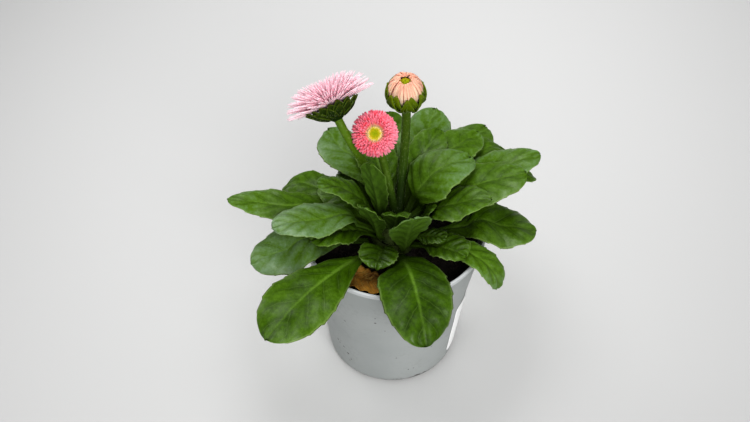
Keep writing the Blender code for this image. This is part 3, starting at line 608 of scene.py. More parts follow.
# Direction, length and width in mm, rise at foot, middle and tip, fold, wave in mm, a seat of its
# own on the crown as rise and direction, where the blade begins and where it is widest as shares
# of the length, and how light its green is. That lightness is partly the leaf's own green and partly
# painted light: a grey-blue painted sheen on the lightest leaves, painted shade on the darkest.
# Directions and rises are in degrees.
leaf_rows = (
    (330, 57, 15, (38, 4, -92), 14, 0.8, None, (0.2, 0.68), 0.6),
    (281, 68, 32, (44, 10, -62), 8, 1.4, None, (0.0, 0.54), 0.15),
    (231, 82, 31, (30, 10, -26), 8, 0.8, None, (0.1, 0.7), 0.35),
    (195, 60, 30, (20, 3, -22), 8, 0.8, None, None, 0.85),
    (358, 59, 27, (26, 8, -22), 8, 0.8, None, None, 0.42),
    (322, 36, 18, (32, 6, -50), 26, 0.6, None, None, 0.35),
    (168, 46, 24, (20, 5, -15), 8, 0.8, None, None, 0.3),
    (155, 50, 21, (20, 4, -8), 10, 0.8, None, (0.2, 0.5), 0.45),
    (130, 32, 20, (24, 10, 0), 9, 0.8, None, None, 0.3),
    (91, 72, 20, (18, 8, -16), 9, 0.8, None, None, 0.4),
    (53, 72, 26, (24, 10, -8), 9, 0.8, None, None, 0.45),
    (22, 74, 15, (30, 18, -60), 9, 0.8, None, None, 0.4),
    (112, 60, 26, (20, 6, -20), 9, 0.8, None, None, 0.4),
    (178, 72, 18, (33, 16, 1), 10, 0.8, None, (0.2, 0.6), 0.5),
    (122, 56, 25, (36, 20, 4), 8, 1.6, None, None, 0.8),
    (71, 62, 26, (32, 24, 8), 8, 0.8, None, None, 0.7),
    (38, 64, 22, (28, 10, -10), 10, 0.8, None, None, 0.5),
    (20, 72, 22, (40, 24, 0), 10, 0.8, None, None, 0.65),
    (328, 22, 11, (44, 30, 0), 12, 0.6, None, None, 0.3),
    (206, 38, 19, (50, 24, -14), 16, 0.8, None, None, 0.25),
    (9, 62, 27, (38, 26, 4), 8, 0.8, None, None, 0.5),
    (46, 58, 23, (34, 18, 0), 10, 0.8, None, None, 0.55),
    (106, 46, 20, (40, 22, 4), 10, 0.8, (30, 112), None, 0.5),
    (162, 34, 18, (40, 20, 0), 12, 0.8, None, None, 0.35),
    (197, 56, 21, (46, 22, -8), 9, 0.8, None, None, 0.88),
    (350, 48, 21, (38, 24, -6), 10, 0.8, None, None, 0.45),
    (64, 50, 19, (56, 28, -14), 10, 0.6, (36, 47), None, 0.45),
    (256, 28, 18, (60, 22, -56), 30, 0.8, (20, 250), None, 0.35),
    (236, 38, 14, (76, 70, 54), 16, 0.6, (36, 230), None, 0.3),
    (288, 40, 20, (74, 72, 66), 14, 0.5, (8, 291), (0.1, 0.76), 0.6),
    (349, 24, 10, (50, 30, 0), 14, 0.5, (12, 341), None, 0.3),
    (30, 45, 28, (48, 38, 22), 8, 0.5, (20, 18), (0.2, 0.6), 0.6),
    (184, 46, 15, (72, 52, 0), 12, 0.8, (56, 186), None, 0.55),
    (268, 36, 13, (70, 62, 52), 14, 0.6, (42, 278), None, 0.35),
    (236, 54, 14, (77, 78, 78), 16, 0.5, (62, 214), (0.14, 0.72), 0.3),
)
petiole_width, droop, waves, lift_steps = 3.6 * MM, 0.22, 2.2, 40
usual_quilting, deep_quilting, deeply_quilted = 0.65 * MM, 1.1 * MM, 31
lay_rays, lay_rings, ring_step = 240, 80, 1.5 * MM
near_clear, far_clear, lay_margin = 1.3 * MM, 1.9 * MM, 0.7 * MM
steepest, small_turn = math.radians(78), math.radians(0.3)


def smooth_step(t):
    t = np.clip(t, 0, 1)
    return t * t * (3 - 2 * t)


def pointing(rise, turn):
    """A direction from its rise above the ground and its turn about the pot, in degrees."""
    rise, turn = math.radians(rise), math.radians(turn)
    return np.array((math.cos(rise) * math.cos(turn), math.cos(rise) * math.sin(turn), math.sin(rise)))


class Leaf:
    """The curved midrib, the outline and the lift of one leaf."""

    def __init__(self, number, direction, length, width, rise, fold, wave, seat, shape, tone):
        share = number / (len(leaf_rows) - 1)
        usual = math.degrees(math.asin(0.12 + 0.81 * share))
        self.tone, self.quilting = tone, deep_quilting if number == deeply_quilted else usual_quilting
        self.direction, self.length, self.half = math.radians(direction), length * MM, width * MM / 2
        self.rise = [math.radians(angle) for angle in rise]
        self.foot = crown_at + (crown_radius + seat_gap) * pointing(*(seat or (usual, direction)))
        self.fold, self.wave, self.phase = math.tan(math.radians(fold)), wave * MM, (number * 0.382) % 1
        self.neck, self.widest = shape or (0.2 - 0.06 * share, 0.64)
        self.lift = np.zeros(lift_steps)

    def half_width(self, along, least=0.9 * MM):
        grow = smooth_step((along - self.neck) / (self.widest - self.neck))
        beyond = np.clip((along - self.widest) / (1 - self.widest), 0, 1)
        width = (petiole_width / 2 + (self.half - petiole_width / 2) * grow) * np.sqrt(1 - beyond**2.2)
        return np.maximum(width, least)

    def midrib(self, along):
        steps = np.linspace(0, 1, 60)
        foot, middle, tip = self.rise
        rise = foot + (4 * middle - 3 * foot - tip) * steps + 2 * (foot - 2 * middle + tip) * steps**2
        heading = np.array([math.cos(self.direction), math.sin(self.direction), 0])
        way = np.outer(np.cos(rise), heading) + np.outer(np.sin(rise), (0, 0, 1))
        strides = (way[:-1] + way[1:]) / 2 * self.length / (len(steps) - 1)
        points = self.foot + np.vstack([np.zeros(3), np.cumsum(strides, axis=0)])
        at = np.stack([np.interp(along, steps, points[:, k]) for k in range(3)], axis=1)
        way = np.stack([np.interp(along, steps, way[:, k]) for k in range(3)], axis=1)
        return at, way / np.linalg.norm(way, axis=1)[:, None]

    def surface(self, along, across, width, reach, extra=0.0):
        """Points of the leaf's middle surface: rows along it, columns across it."""
        at, way = self.midrib(along)
        side = np.array([-math.sin(self.direction), math.cos(self.direction), 0])
        normal = np.cross(way, side)
        u = across[None, :]
        blade = smooth_step((along - self.neck) / 0.3)[:, None]
        ripple = np.sin(2 * np.pi * (waves * along[:, None] + self.phase + 0.25 * np.sign(u)))
        height = width[:, None] * (self.fold * np.abs(u) - droop * u**2)
        height = height + self.wave * blade * np.abs(u) ** 1.5 * ripple + extra
        grid = at[:, None, :] + (u * reach)[:, :, None] * side + height[:, :, None] * normal[:, None, :]
        return self.lifted(grid, along)

    def plain(self, along, across, margin=0.0):
        """The leaf as it is laid, with three broad scallops on each side."""
        width = self.half_width(along)
        tooth = np.clip((along - 0.36) / 0.625, 0, 1) * 3
        edge = width * (1 + 0.07 * np.sin(np.pi * (tooth % 1)) * ((tooth > 0) & (tooth < 3)))
        reach = np.where(np.abs(across[None, :]) > 0.99, edge[:, None], width[:, None]) + margin
        return self.surface(along, across, width, reach)

    def lifted(self, grid, along):
        turn = np.interp(along, np.linspace(0, 1, lift_steps), self.lift)[:, None]
        rel = grid - crown_at
        middle = rel[:, rel.shape[1] // 2]
        facing = np.arctan2(middle[:, 1], middle[:, 0])
        out = np.stack([np.cos(facing), np.sin(facing), 0 * facing], axis=1)[:, None, :]
        reach, height = (rel * out).sum(axis=2), rel[:, :, 2].copy()
        rel = rel + out * (reach * (np.cos(turn) - 1) - height * np.sin(turn))[:, :, None]
        rel[:, :, 2] = reach * np.sin(turn) + height * np.cos(turn)
        return rel + crown_at


def lay_cells(points):
    """Cell round and out from the crown, angle above the soil, and distance, of each point."""
    rel = (points - crown_at).reshape(-1, 3)
    distance = np.linalg.norm(rel, axis=1)
    ray = (np.arctan2(rel[:, 1], rel[:, 0]) / (2 * np.pi) * lay_rays).astype(int) % lay_rays
    ring = np.clip((distance / ring_step).astype(int), 0, lay_rings - 1)
    return ray, ring, np.arcsin(np.clip(rel[:, 2] / distance, -1, 1)), distance


def lay_leaf(leaf, filled):
    """Turns a leaf up until it clears what lies under it, and adds it to the heap."""
    rows = np.linspace(0, 1, lift_steps)
    for _ in range(5):
        ray, ring, angle, distance = lay_cells(leaf.plain(rows, np.linspace(-1, 1, 15)))
        clear = np.interp(distance, [14 * MM, 35 * MM], [near_clear, far_clear]) / distance
        need = np.maximum(filled[ray, ring] + clear - angle, 0).reshape(lift_steps, -1).max(axis=1)
        room = steepest - angle.reshape(lift_steps, -1).max(axis=1)
        need = np.minimum(need, np.maximum(room, 0))
        if need.max() < small_turn:
            break
        near = np.array([need[max(0, i - 2):i + 3].max() for i in range(lift_steps)])
        weight = np.exp(-np.linspace(-2, 2, 9) ** 2)
        spread = np.convolve(np.pad(near, 4, mode="edge"), weight / weight.sum(), mode="valid")
        leaf.lift = leaf.lift + np.maximum(spread, 0.9 * need)
    cover = leaf.plain(np.linspace(0, 1, 120), np.linspace(-1, 1, 31), lay_margin)
    ray, ring, angle, _ = lay_cells(cover)
    np.maximum.at(filled, (ray, ring), angle)


# What the first leaves lie on: the soil's lumps, the rim, and the withered leaf.
heap = np.full((lay_rays, lay_rings), -np.pi / 2)
for ring in range(lay_rings):
    distance = (ring + 0.5) * ring_step
    if distance < 44 * MM:
        heap[:, ring] = math.asin(min(1, 0.6 * MM / distance))
    if pot_rim - 1.5 * MM < distance < pot_rim + 2.5 * MM:
        heap[:, ring] = math.asin((pot_height + seat_gap - soil_level) / distance)
for step in np.linspace(-1, 1, 60):
    turn = math.radians(dry_at + (dry_span / 2 + 2) * step)
    radius = dry_radius + np.linspace(-0.55, 0.55, 40) * dry_width
    height = np.full_like(radius, dry_rest + dry_curl + dry_tilt + 2 * dry_ripple)
    ray, ring, angle, _ = lay_cells(np.stack(round_point(radius, turn, height), axis=1))
    np.maximum.at(heap, (ray, ring), angle)

green = Finish("daisy_leaf", 0.45, 0.05)
along, across, half, tone = (green.attribute(name) for name in ("along", "across", "half", "tone"))
blade, beneath = green.attribute("blade"), green.attribute("under").smooth(0.3, 0.7)
away = abs(across)
patchy, mottle = green.noise(75, 3), green.noise(620, 4)
vein = side_veins(along, across, 7, 1.5) + (green.noise(140, 1) - 0.5) * 0.35
crease = abs(vein.part() - 0.5) * 2
# Painted shade in the creases between the side veins.
crease_shade = crease.smooth(0.3, 1.0) * blade * (1 - away.smooth(0.6, 1.0))
# The green is painted lighter towards the tip and the margins, as painted sheen, and darker in the creases
# between the side veins, as painted shade; the patches and mottles are the leaf's own.
shade = tone * 0.75 + (along - 0.6) * 0.3 + away**2 * 0.14 - crease_shade * 0.14
shade = shade + (patchy - 0.5) * 0.6 + (mottle - 0.5) * 0.55 + 0.03
# The ramp's top stops are grey-blue: painted sheen.
flesh = shade.ramp(
    (0.0, (0.018, 0.044, 0.0005)), (0.3, (0.044, 0.099, 0.001)), (0.55, (0.078, 0.158, 0.008)),
    (0.8, (0.130, 0.220, 0.080)), (1.0, (0.180, 0.272, 0.150)),
)
side_vein = crease.smooth(0.88, 1.0) * blade * (1 - away.smooth(0.6, 0.95))
flesh = (side_vein * 0.16).blend(flesh, (0.17, 0.28, 0.06))
# A thin lighter rim along the margin: partly the margin's own paler green, partly a painted highlight where
# the edge turns to the light.
edge = away.smooth(0.92, 1.0) * blade
flesh = (edge * 0.55).blend(flesh, (0.28, 0.39, 0.12))
off_rib = away * half
rib_width = (1.9 - along * 1.1) * MM
rib = (1 - (off_rib / rib_width).smooth(0.0, 1.0)) * (0.1 + green.noise(240, 3) * 1.6)
glow = (1 - (off_rib / (5 * MM)).smooth(0.0, 1.0)) * (1 - along.smooth(0.3, 0.8))
flesh = (glow * 0.4).blend(flesh, (0.080, 0.185, 0.003))
rib = rib * along.smooth(0.05, 0.3) * (0.56 - along.smooth(0.4, 0.9) * 0.42)
flesh = rib.blend(flesh, (0.20, 0.35, 0.045))
flesh = ((1 - blade) * 0.6).blend(flesh, (0.09, 0.18, 0.010))
flesh = (beneath * 0.5).blend(flesh, (0.085, 0.165, 0.020))
# Painted shade: the green darkens to near black towards the crown, where the leaves lie under one another.
heart = green.place.vector_math("DISTANCE", tuple(crown_at), "Value")
flesh = ((1 - heart.smooth(10 * MM, 50 * MM)) * 0.82).blend(flesh, (0.013, 0.028, 0.0005))
green.set("Base Color", flesh)
green.set("Roughness", 0.36 + mottle * 0.22 + beneath * 0.15)
sheen = along.smooth(0.3, 0.9) * 0.65 + away.smooth(0.3, 1.0) * 0.35
green.set("Coat Weight", sheen * green.noise(65, 4).smooth(0.38, 0.66))
green.set("Coat Roughness", 0.32)
net = green.spots(1500)
green.bump(net * 0.5 + green.noise(330, 3) * 1.2 + (1 - side_vein) * 0.4, 0.4 * MM, 0.9)

leaf_across = np.sin(np.linspace(-1, 1, 23) * 1.18) / math.sin(1.18)
leaf_along = 1 - (1 - np.linspace(0, 1, 78)) ** 1.25
for number, row in enumerate(leaf_rows):
    leaf = Leaf(number, *row)
    lay_leaf(leaf, heap)
    draw = random.Random(40 + number)
    width = leaf.half_width(leaf_along, 0.15 * MM)
    teeth = []
    for side in (-1, 1):
        place = np.clip((leaf_along - 0.4) / 0.585, 0, 1) ** 0.9 * draw.uniform(5.6, 7.4) + draw.random()
        toothed = smooth_step((leaf_along - 0.36) / 0.12) * (1 - smooth_step((leaf_along - 0.95) / 0.05))
        point = (place % 1) ** 3 * toothed
        teeth.append(0.02 + min(0.11, 0.75 * MM / leaf.half) * point)
    teeth = np.where(leaf_across[None, :] < 0, teeth[0][:, None], teeth[1][:, None])
    reach = width[:, None] * (1 + teeth * np.abs(leaf_across) ** 5)
    blade_here = smooth_step((leaf_along - leaf.neck) / 0.3)[:, None]
    frill = np.sin(2 * np.pi * (5.3 * leaf_along[:, None] + draw.random() + 0.4 * np.sign(leaf_across)))
    frill = 0.35 * MM * frill * np.abs(leaf_across) ** 3 * blade_here
    grid = leaf.surface(leaf_along, leaf_across, width, reach, frill)
    name = f"leaf_{number + 1:02d}"
    fine = sheet_grid("daisy_" + name, grid, along=leaf_along[:, None], across=leaf_across,
                      half=width[:, None], blade=blade_here, tone=leaf.tone)
    fine = cooked("daisy_" + name, leaf_sheet, fine, Petiole=1.5 * MM, Quilting=leaf.quilting,
                  Crumple=0.7 * MM, Material=green.material)
    finished(fine, name, "leaf_green", green)

# The flower stalks. A hairy green stalk for each flower, which widens under the head into a green
# cup, with rings of pointed green bracts that hold the florets from below.

# Each head has its place in mm and the way it faces, then the seat of its stalk on the crown and
# the way that the stalk leaves it, as rise and direction, and then sizes in mm. A ring of bracts or
# florets is its count, the radius and height of its roots, length, width, and rise at root and tip.
# Florets narrow from "taper" on to the width "tip", and bracts from "point" on. "spread" is how
# unlike each other they are, and along one way across each head the florets take their end colour:
# a painted light on the lit side of the open and the half-open flower, and the pinker top of the bud.
heads = {
    "open_flower": {
        "head": (-27.5, 8.0, 152), "axis": (-0.40, 0.62, 0.66), "seat": (58, 124), "way": (72, 118),
        "stalk": 1.75, "cup": 7.5, "depth": 4.6, "eye": 2.0, "proud": 0.6, "core": 4.6,
        "bracts": ((17, 5.0, -2.7, 9.0, 5.4, 20, 40), (13, 4.0, -4.0, 8.4, 5.2, 20, 45)),
        "florets": (
            (124, 5.1, 1.0, 15.4, 1.2, 14, 3), (116, 4.9, 1.4, 15.4, 1.15, 25, 11),
            (106, 4.6, 1.8, 15.0, 1.1, 36, 21), (92, 4.3, 2.2, 14.2, 1.05, 48, 34),
            (76, 3.9, 2.6, 13.0, 1.0, 60, 48), (56, 3.4, 2.9, 11.6, 0.95, 71, 61),
            (32, 2.9, 3.1, 10.0, 0.9, 82, 74),
        ),
        "tip": 0.05, "taper": 0.25, "channel": 0.06, "point": 0.4, "spread": 0.05, "seed": 11,
        "slot": "pale_pink", "flush": (0.02, 0, 0.02), "fade": 0.5, "hairs": 900,
        "stalk_low": (0.105, 0.205, 0.004), "stalk_high": (0.085, 0.165, 0.003),
        "husk": ((0.010, 0.026, 0.001), (0.036, 0.062, 0.002)),
    },
    "half_open_flower": {
        "head": (-9.0, 3.4, 141), "axis": (-0.03, -0.70, 0.71), "seat": (84, 60), "way": (88, 180),
        "stalk": 1.7, "cup": 5.4, "depth": 3.4, "eye": 3.0, "proud": 1.2, "core": 2.8,
        "bracts": ((13, 4.0, -0.8, 5.8, 3.0, 24, 14), (11, 3.8, -1.6, 5.0, 2.8, 16, 6)),
        "florets": (
            (92, 4.0, 1.0, 6.8, 1.0, 30, -12), (88, 3.9, 1.3, 6.8, 0.95, 40, 0),
            (80, 3.8, 1.6, 6.3, 0.85, 50, 12), (70, 3.7, 1.9, 5.6, 0.7, 58, 26),
            (60, 3.5, 2.1, 4.9, 0.65, 64, 38), (50, 3.2, 2.5, 4.1, 0.6, 68, 48),
        ),
        "tip": 0.5, "taper": 0.8, "channel": -0.2, "point": 0.4, "spread": 0.05, "seed": 15,
        "slot": "rose_pink", "flush": (0.11, 0, -0.05), "fade": 0.8, "hairs": 600,
        "stalk_low": (0.050, 0.110, 0.003), "stalk_high": (0.110, 0.190, 0.008),
        "husk": ((0.020, 0.050, 0.001), (0.070, 0.120, 0.004)),
    },
    "bud": {
        "head": (5.2, 22.0, 145), "axis": (-0.05, -0.14, 0.99), "seat": (44, 74), "way": (62, 80),
        "stalk": 1.9, "cup": 6.4, "depth": 4.4, "eye": 3.0, "proud": 7.0, "core": 6.0,
        "bracts": ((7, 5.0, -1.6, 12.8, 7.8, 39, 119), (7, 5.2, -1.7, 12.0, 7.4, 37, 112)),
        "florets": (
            (44, 5.2, 1.4, 14.9, 1.5, 40, 155), (38, 4.8, 2.0, 14.2, 1.35, 44, 154),
            (28, 4.0, 3.0, 12.2, 1.2, 50, 148),
        ),
        "tip": 0.5, "taper": 0.7, "channel": -0.12, "point": 0.15, "spread": 0.03, "seed": 13,
        "slot": "peach_pink", "flush": (0, 0, 0.06), "fade": 0.5, "hairs": 1500,
        "stalk_low": (0.026, 0.065, 0.001), "stalk_high": (0.065, 0.120, 0.004),
        "husk": ((0.060, 0.105, 0.0005), (0.190, 0.255, 0.001)),
    },
}

stalk_foot = 1.12
stalk_tree, into = new_recipe(
    "flower_stalk", Radius=1.8 * MM, Seat=(0, 0, 0), Low=(0, 0, 0), High=(0, 0, 0), Top=(0, 0, 0),
    Material=None,
)
wire = into.Radius
path = wire.node("GeometryNodeCurvePrimitiveBezierSegment", {
    "Resolution": 48, "Start": into.Seat, "Start Handle": into.Low, "End Handle": into.High,
    "End": into.Top,
})
factor = wire.node("GeometryNodeSplineParameter")
path = store(path, "along", factor)
slim = stalk_foot - 0.18 * wire.math("MINIMUM", factor * (1.2 * math.pi), math.pi).sin()
profile = wire.node("GeometryNodeCurvePrimitiveCircle", {"Resolution": 16, "Radius": into.Radius})
tube = wire.node("GeometryNodeCurveToMesh", {
    "Curve": path, "Profile Curve": profile, "Scale": slim, "Fill Caps": True,
})
close_recipe(pushed(tube, (wire.noise(260, 2) - 0.5) * 0.35 * MM), into.Material)

# One ring of florets or bracts: blades of one shape, each bent along an arc and a little unlike
# the next.
ring_tree, into = new_recipe(
    "ring_of_blades", Count=20, Turn=0.0, Root=5 * MM, Height=1 * MM, Length=15 * MM, Width=2 * MM,
    Rise=0.3, Bend=0.0, Spread=0.06, Tip=0.4, Slim=0.45, Taper=0.72, Thickness=0.3 * MM, Channel=0.2,
    Seed=1, Material=None,
)
wire = into.Count
made = wire.node("GeometryNodeMeshCube", {
    "Size": (1, 1, 1), "Vertices X": 8, "Vertices Y": 3, "Vertices Z": 2,
})
place = wire.node("GeometryNodeInputPosition")
along, across, face = place.axis("X") + 0.5, place.axis("Y") * 2, place.axis("Z")
swing = into.Bend - into.Rise + 0.0001
angle = into.Rise + swing * along
outline = into.Slim + (1 - into.Slim) * along.smooth(0, 0.62)
narrow = wire.math("MAXIMUM", (along - into.Taper) / (1 - into.Taper), 0.0)
outline = outline * (1 - (1 - into.Tip) * narrow**2)
lift = face * into.Thickness + into.Channel * into.Width * (across**2 - 0.5) * outline
bent = wire.point(
    into.Length * (angle.sin() - into.Rise.sin()) / swing - angle.sin() * lift,
    across * into.Width * 0.5 * outline,
    into.Length * (into.Rise.cos() - angle.cos()) / swing + angle.cos() * lift,
)
made = store(store(made, "along", along), "across", across)
made = wire.node("GeometryNodeSetPosition", {0: made, "Position": bent})
index = wire.node("GeometryNodeInputIndex")


def wander(reach, seed):
    """How far a blade differs from its ring's rule."""
    return chance(wire, -1.0, 1.0, into.Seed * 10 + seed) * into.Spread * reach


turn = into.Turn + index * (2 * math.pi) / into.Count + wander(1, 0)
level = into.Height + wander(1.5 * MM, 1)
spot = wire.point(turn.cos() * into.Root, turn.sin() * into.Root, level)
spots = wire.node("GeometryNodePoints", {"Count": into.Count, "Position": spot})
spin = wire.point(wander(3, 2), wander(1, 3), turn + wander(0.8, 4))
stretch = wire.point(1 + wander(1, 5), 1 + wander(1.6, 6), 1 + wander(1, 5))
shade = chance(wire, 0.0, 1.0, into.Seed * 10 + 7)
close_recipe(store(copies(made, spots, spin, stretch), "shade", shade, "INSTANCE"), into.Material)

# Soft white hairs, strewn over a green shape that already has its own finish.
fluff_tree, into = new_recipe(
    "soft_hairs", Density=100000.0, Length=0.8 * MM, Thin=0.045 * MM, Seed=1, Material=None,
)
wire = into.Density
roots = wire.node("GeometryNodeDistributePointsOnFaces", {
    "Mesh": into.Geometry, "Density": into.Density, "Seed": into.Seed,
})
hair = wire.node("GeometryNodeMeshCone", {
    "Vertices": 3, "Side Segments": 1, "Fill Segments": 1, "Radius Top": 0.0, "Radius Bottom": into.Thin,
    "Depth": into.Length,
})
lean = wire.node("FunctionNodeRandomValue", {
    0: (-0.55, -0.55, -0.55), 1: (0.55, 0.55, 0.55), "Seed": into.Seed + 1,
}, data_type="FLOAT_VECTOR")
way = roots.beside("Normal").vector_math("ADD", lean)
spin = wire.node("FunctionNodeAlignRotationToVector", {"Vector": way}, axis="Z")
long = chance(wire, 0.5, 1.0, into.Seed + 2)
hairs = copies(hair, roots, spin, wire.point(1.0, 1.0, long))
hairs = wire.node("GeometryNodeRealizeInstances", {0: hairs})
hairs = wire.node("GeometryNodeSetMaterial", {0: hairs, "Material": into.Material})
close_recipe(wire.node("GeometryNodeJoinGeometry", {0: [hairs, into.Geometry]}))

down = Finish("white_hairs", 0.5, 0.3)
down.set("Base Color", down.noise(300).smooth(0.3, 0.7).blend((0.42, 0.50, 0.26), (0.70, 0.75, 0.52)))


def seat_on_crown(shape):
    """Where a stalk starts, just clear of the crown."""
    outward, way = Vector(pointing(*shape["seat"])), Vector(pointing(*shape["way"]))
    seat = Vector(crown_at) + (crown_radius + seat_gap) * outward
    return seat + outward * shape["stalk"] * MM * stalk_foot * math.sin(outward.angle(way)), way


def ring(row, number, shape, finish, **others):
    """One ring of blades from its row of sizes in mm and degrees."""
    count, root, height, length, width, rise, bend = row
    return cooked("ring", ring_tree, Count=count, Root=root * MM, Height=height * MM, Length=length * MM,
                  Width=width * MM, Rise=math.radians(rise), Bend=math.radians(bend), Turn=number * 2.4,
                  Spread=shape["spread"], Seed=shape["seed"] + number, Material=finish.material, **others)


def on_head(name, pieces, shape):
    """Joins the pieces of a head, and moves them to where it is and turns them as it faces."""
    made = joined(name, pieces)
    made.data.transform(shape["place"])
    return made


for title, shape in heads.items():
    axis = Vector(shape["axis"]).normalized()
    facing = axis.to_track_quat("Z", "Y").to_matrix().to_4x4()
    shape["place"] = Matrix.Translation(Vector(shape["head"]) * MM) @ facing
    stem = Finish(title + "_stalk", 0.55, 0.2)
    climb = stem.attribute("along")
    skin = (climb + (stem.noise(120, 3) - 0.5) * 0.6).smooth(0.15, 0.95)
    skin = skin.blend(shape["stalk_low"], shape["stalk_high"])
    skin = (stem.noise(700, 2).smooth(0.5, 0.8) * 0.35).blend(skin, (0.26, 0.33, 0.09))
    # The lower part of each stalk is painted near black: painted shade among the leaves.
    stem.set("Base Color", ((1 - climb.smooth(0.1, 0.45)) * 0.8).blend(skin, (0.012, 0.030, 0.001)))
    stem.bump(stem.noise(500, 3), 0.3 * MM)
    husk = Finish(title + "_bracts", 0.6, 0.08)
    husk_along, husk_across = husk.attribute("along"), abs(husk.attribute("across"))
    skin = (husk_along * 0.5 + (husk.noise(200, 3) - 0.5)).smooth(0.0, 0.8).blend(*shape["husk"])
    skin = (husk_across.smooth(0.75, 1.0) * 0.35).blend(skin, (0.15, 0.23, 0.015))
    husk.set("Base Color", (husk_along.smooth(0.8, 1.0) * 0.3).blend(skin, (0.09, 0.075, 0.006)))
    husk.bump(husk_across + husk.noise(600, 2), 0.2 * MM)

    seat, way = seat_on_crown(shape)
    stalk_radius, cup, depth = shape["stalk"] * MM, shape["cup"] * MM, shape["depth"] * MM
    top = Vector(shape["head"]) * MM - axis * depth * 0.6
    run = (top - seat).length
    stalk = cooked(title + "_stalk", stalk_tree, Radius=stalk_radius, Material=stem.material,
                   Seat=seat, Low=seat + way * run * 0.35, High=top - axis * run * 0.3, Top=top)
    green_parts = [turned("cup", rounded([
        (0, seat_gap, 0), (cup * 0.98, seat_gap, 0.3 * MM), (cup * 0.97, -0.25 * depth, 1 * MM),
        (cup * 0.68, -0.72 * depth, 1.6 * MM), (stalk_radius, -1.25 * depth, 0.6 * MM),
        (0, -1.3 * depth, 0),
    ]), 40, husk)]
    for number, row in enumerate(shape["bracts"]):
        green_parts.append(ring(row, number, shape, husk, Tip=0.1, Slim=0.85, Taper=shape["point"],
                                Thickness=0.6 * MM, Channel=-0.1))
    stalk = joined(title + "_stalk", [stalk, on_head("bracts", green_parts, shape)])
    area = sum(face.area for face in stalk.data.polygons)
    stalk = cooked(title + "_stalk", fluff_tree, stalk, Density=shape["hairs"] / area, Seed=shape["seed"],
                   Material=down.material)
    finished(stalk, title + "_stem", "stem_green")

# The florets. Rings of narrow strap-shaped ray florets, packed in a dome: pale pink on the open
# flower, short and rose on the half-open one, and peach, still folded over its middle, on the bud.
first_floret_ring = 5

# Their colours at the root, along the strap and at its end.
tints = {
    "open_flower": ((0.96, 0.64, 0.70), (0.99, 0.63, 0.71), (0.99, 0.70, 0.77)),
    "half_open_flower": ((0.94, 0.82, 0.42), (0.88, 0.034, 0.075), (0.97, 0.34, 0.43)),
    "bud": ((0.90, 0.76, 0.38), (0.95, 0.83, 0.58), (0.95, 0.42, 0.30)),
}
for title, shape in heads.items():
    petal = Finish(title + "_petal", 0.6, 0.15)
    root, main, end = tints[title]
    along, shade = petal.attribute("along"), petal.attribute("shade")
    streak = petal.noise(500, 2)
    skin = (along + (streak - 0.5) * 0.3).smooth(0.02, shape["fade"]).blend(root, main)
    skin = ((along + (shade - 0.5) * 0.4).smooth(0.6, 1.0) * 0.5).blend(skin, end)
    # Along this way the florets take their end colour: painted light on the lit side of the open and the
    # half-open flower, the pinker top of the bud.
    flush = Vector(shape["flush"]) / MM
    lit_side_and_bud_top = petal.place.vector_math("DOT_PRODUCT", flush, "Value")
    lit_side_and_bud_top = (lit_side_and_bud_top - flush.dot(Vector(shape["head"]) * MM)).smooth(-0.2, 0.9) * 0.4
    petal.set("Base Color", (shade * 0.3 + petal.attribute("across") ** 2 * 0.4 + lit_side_and_bud_top).blend(skin, end))
    petal.set("Subsurface Weight", 0.3)
    petal.set("Subsurface Radius", (1.0, 0.6, 0.6))
    petal.set("Subsurface Scale", 3 * MM)
    petal.bump(streak, 0.1 * MM)
    hole, high, cup = shape["eye"] * MM, shape["core"] * MM, shape["cup"] * MM
    rows = [turned("core", [
        (0, high * 0.98), (hole * 1.1, high * 0.98), (cup * 0.62, high * 0.74), (cup * 0.84, high * 0.35),
        (cup * 0.84, seat_gap), (0, seat_gap),
    ], 40, petal)]
    for number, row in enumerate(shape["florets"], first_floret_ring):
        rows.append(ring(row, number, shape, petal, Thickness=0.24 * MM, Channel=shape["channel"],
                         Tip=shape["tip"], Taper=shape["taper"]))
    finished(on_head(title + "_florets", rows, shape), title + "_rays", shape["slot"])

# The eyes. The tiny tubular disc florets in the middle of each head, set in a spiral as seeds in a
# sunflower are, yellow-green on the half-open flower and only just showing on the other two.
eye_tree, into = new_recipe(
    "spiral_of_disc_florets", Count=90, Radius=3 * MM, Top=4 * MM, Dome=1.5 * MM, Size=0.34 * MM, Seed=1,
    Material=None,
)
golden_angle, knobs_within_1_mm = 2.399963, 11
wire = into.Count
index = wire.node("GeometryNodeInputIndex")
share = ((index + 0.5) / into.Count) ** 0.5
turn, reach = index * golden_angle, share * into.Radius
spot = wire.point(turn.cos() * reach, turn.sin() * reach, into.Top - share**2 * into.Dome)
spots = wire.node("GeometryNodePoints", {"Count": into.Count, "Position": spot})
knob = wire.node("GeometryNodeMeshIcoSphere", {"Radius": 1.0, "Subdivisions": 2})
size = into.Size * chance(wire, 0.8, 1.25, into.Seed)
spin = wire.point(0.0, share * 0.8, turn)
knobs = copies(knob, spots, spin, wire.point(size, size, size * 2.6))
close_recipe(store(knobs, "shade", share, "INSTANCE"), into.Material)
eye_finish = Finish("yellow_eye", 0.55, 0.15)
ripe = eye_finish.attribute("shade") + (eye_finish.noise(900, 2) - 0.5) * 0.5
ripe = ripe.smooth(0.2, 0.95).blend((0.40, 0.47, 0.005), (0.62, 0.56, 0.02))
high_up = eye_finish.place.axis("Z").smooth(150 * MM, 154 * MM)
flecks = (1 - eye_finish.spots(1100).smooth(0.25, 0.45)) * high_up
eye_finish.set("Base Color", (flecks * 0.8).blend(ripe, (0.20, 0.075, 0.012)))
eye_finish.bump(eye_finish.noise(2500, 1), 0.1 * MM)
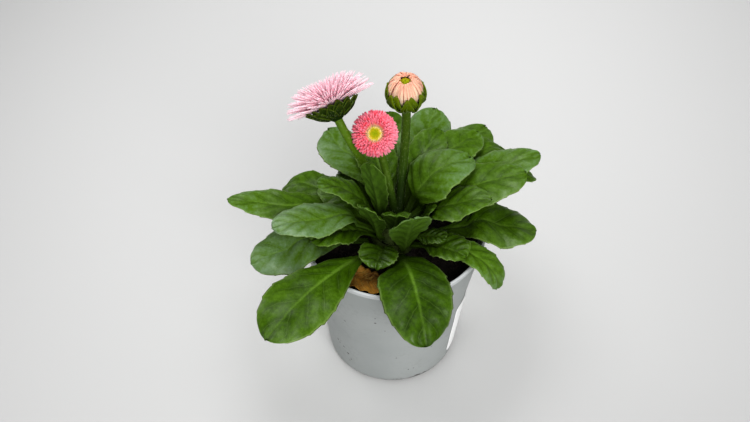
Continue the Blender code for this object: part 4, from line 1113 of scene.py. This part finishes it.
for title, shape in heads.items():
    radius, top = shape["eye"] * MM, (shape["core"] + shape["proud"]) * MM
    bed = turned("bed", [
        (0, top - 0.8 * MM), (radius * 0.6, top - 1.1 * MM), (radius * 0.95, top - 1.9 * MM),
        (radius * 0.95, seat_gap), (0, seat_gap),
    ], 32, eye_finish)
    knobs = cooked("knobs", eye_tree, Count=int(knobs_within_1_mm * (radius / MM) ** 2),
                   Radius=radius * 0.93, Top=top - 0.9 * MM, Dome=radius * 0.4, Material=eye_finish.material)
    finished(on_head(title + "_eye", [bed, knobs], shape), title + "_disc", "disc_yellow")

# The studio. A seamless pale paper floor, three large soft lights in a pale room, and the camera,
# which looks down at the plant as the photograph does.
floor_half, seen_half, lit_point = 3.0, 0.3, Vector((0, 0, 0.08))
seamless = Finish("floor_paper", 0.7, 0.3)


def held(wire):
    """A place on the paper, held within the part that the camera sees."""
    return wire.math("MAXIMUM", wire.math("MINIMUM", wire, seen_half), -seen_half)


x, y = held(seamless.place.axis("X")), held(seamless.place.axis("Y"))
# The paper's colour is painted with light and shade: lighter in the middle and towards the back, darker
# towards the edges and the near side.
pale = 0.556 - 0.025 * x + 0.373 * y - 1.74 * x * x - 0.82 * y * y + 0.54 * x * y
pale = pale + (seamless.noise(3, 2) - 0.5) * 0.02
# A painted pool of light round the pot, up to a quarter brighter, in place of the shade that the pot and its
# leaves cast on the paper.
pale = pale * (1.25 - ((x * x + y * y) ** 0.5).smooth(34 * MM, 78 * MM) * 0.25)
seamless.set("Base Color", pale.blend((0, 0, 0), (1.0, 0.997, 0.99)))
corners = [(x * floor_half, y * floor_half, 0) for x, y in ((-1, -1), (1, -1), (1, 1), (-1, 1))]
mesh_object("paper_floor", corners, [(0, 1, 2, 3)], seamless)

room = bpy.data.worlds.new("pale_room")
room.use_nodes = True
walls = room.node_tree.nodes["Background"].inputs
walls["Color"].default_value = (0.98, 0.99, 1.0, 1)
walls["Strength"].default_value = 0.49
bpy.context.scene.world = room


def soft_light(name, place, size, power):
    data = bpy.data.lights.new(name, "AREA")
    data.shape, data.size, data.energy = "DISK", size, power
    lamp = placed(name, data)
    lamp.location = place
    lamp.rotation_euler = (Vector(place) - lit_point).to_track_quat("Z", "Y").to_euler()


soft_light("overhead", (-0.1, 0.2, 1.5), 1.4, 15)
soft_light("back_window", (-1.1, 1.1, 0.9), 1.2, 7)
soft_light("front_fill", (0.35, -1.35, 0.9), 1.2, 22)
bpy.context.scene.view_settings.view_transform = "Standard"
bpy.context.scene.view_settings.gamma = 0.86

lens = bpy.data.cameras.new("camera")
lens.lens, lens.sensor_width, lens.clip_start = 50, 36, 0.01
camera_tilt = math.radians(43.5)
camera = placed("camera", lens)
camera.location = (-0.009, -0.3428, 0.4557)
camera.rotation_euler = (camera_tilt, 0, 0)
bpy.context.scene.camera = camera
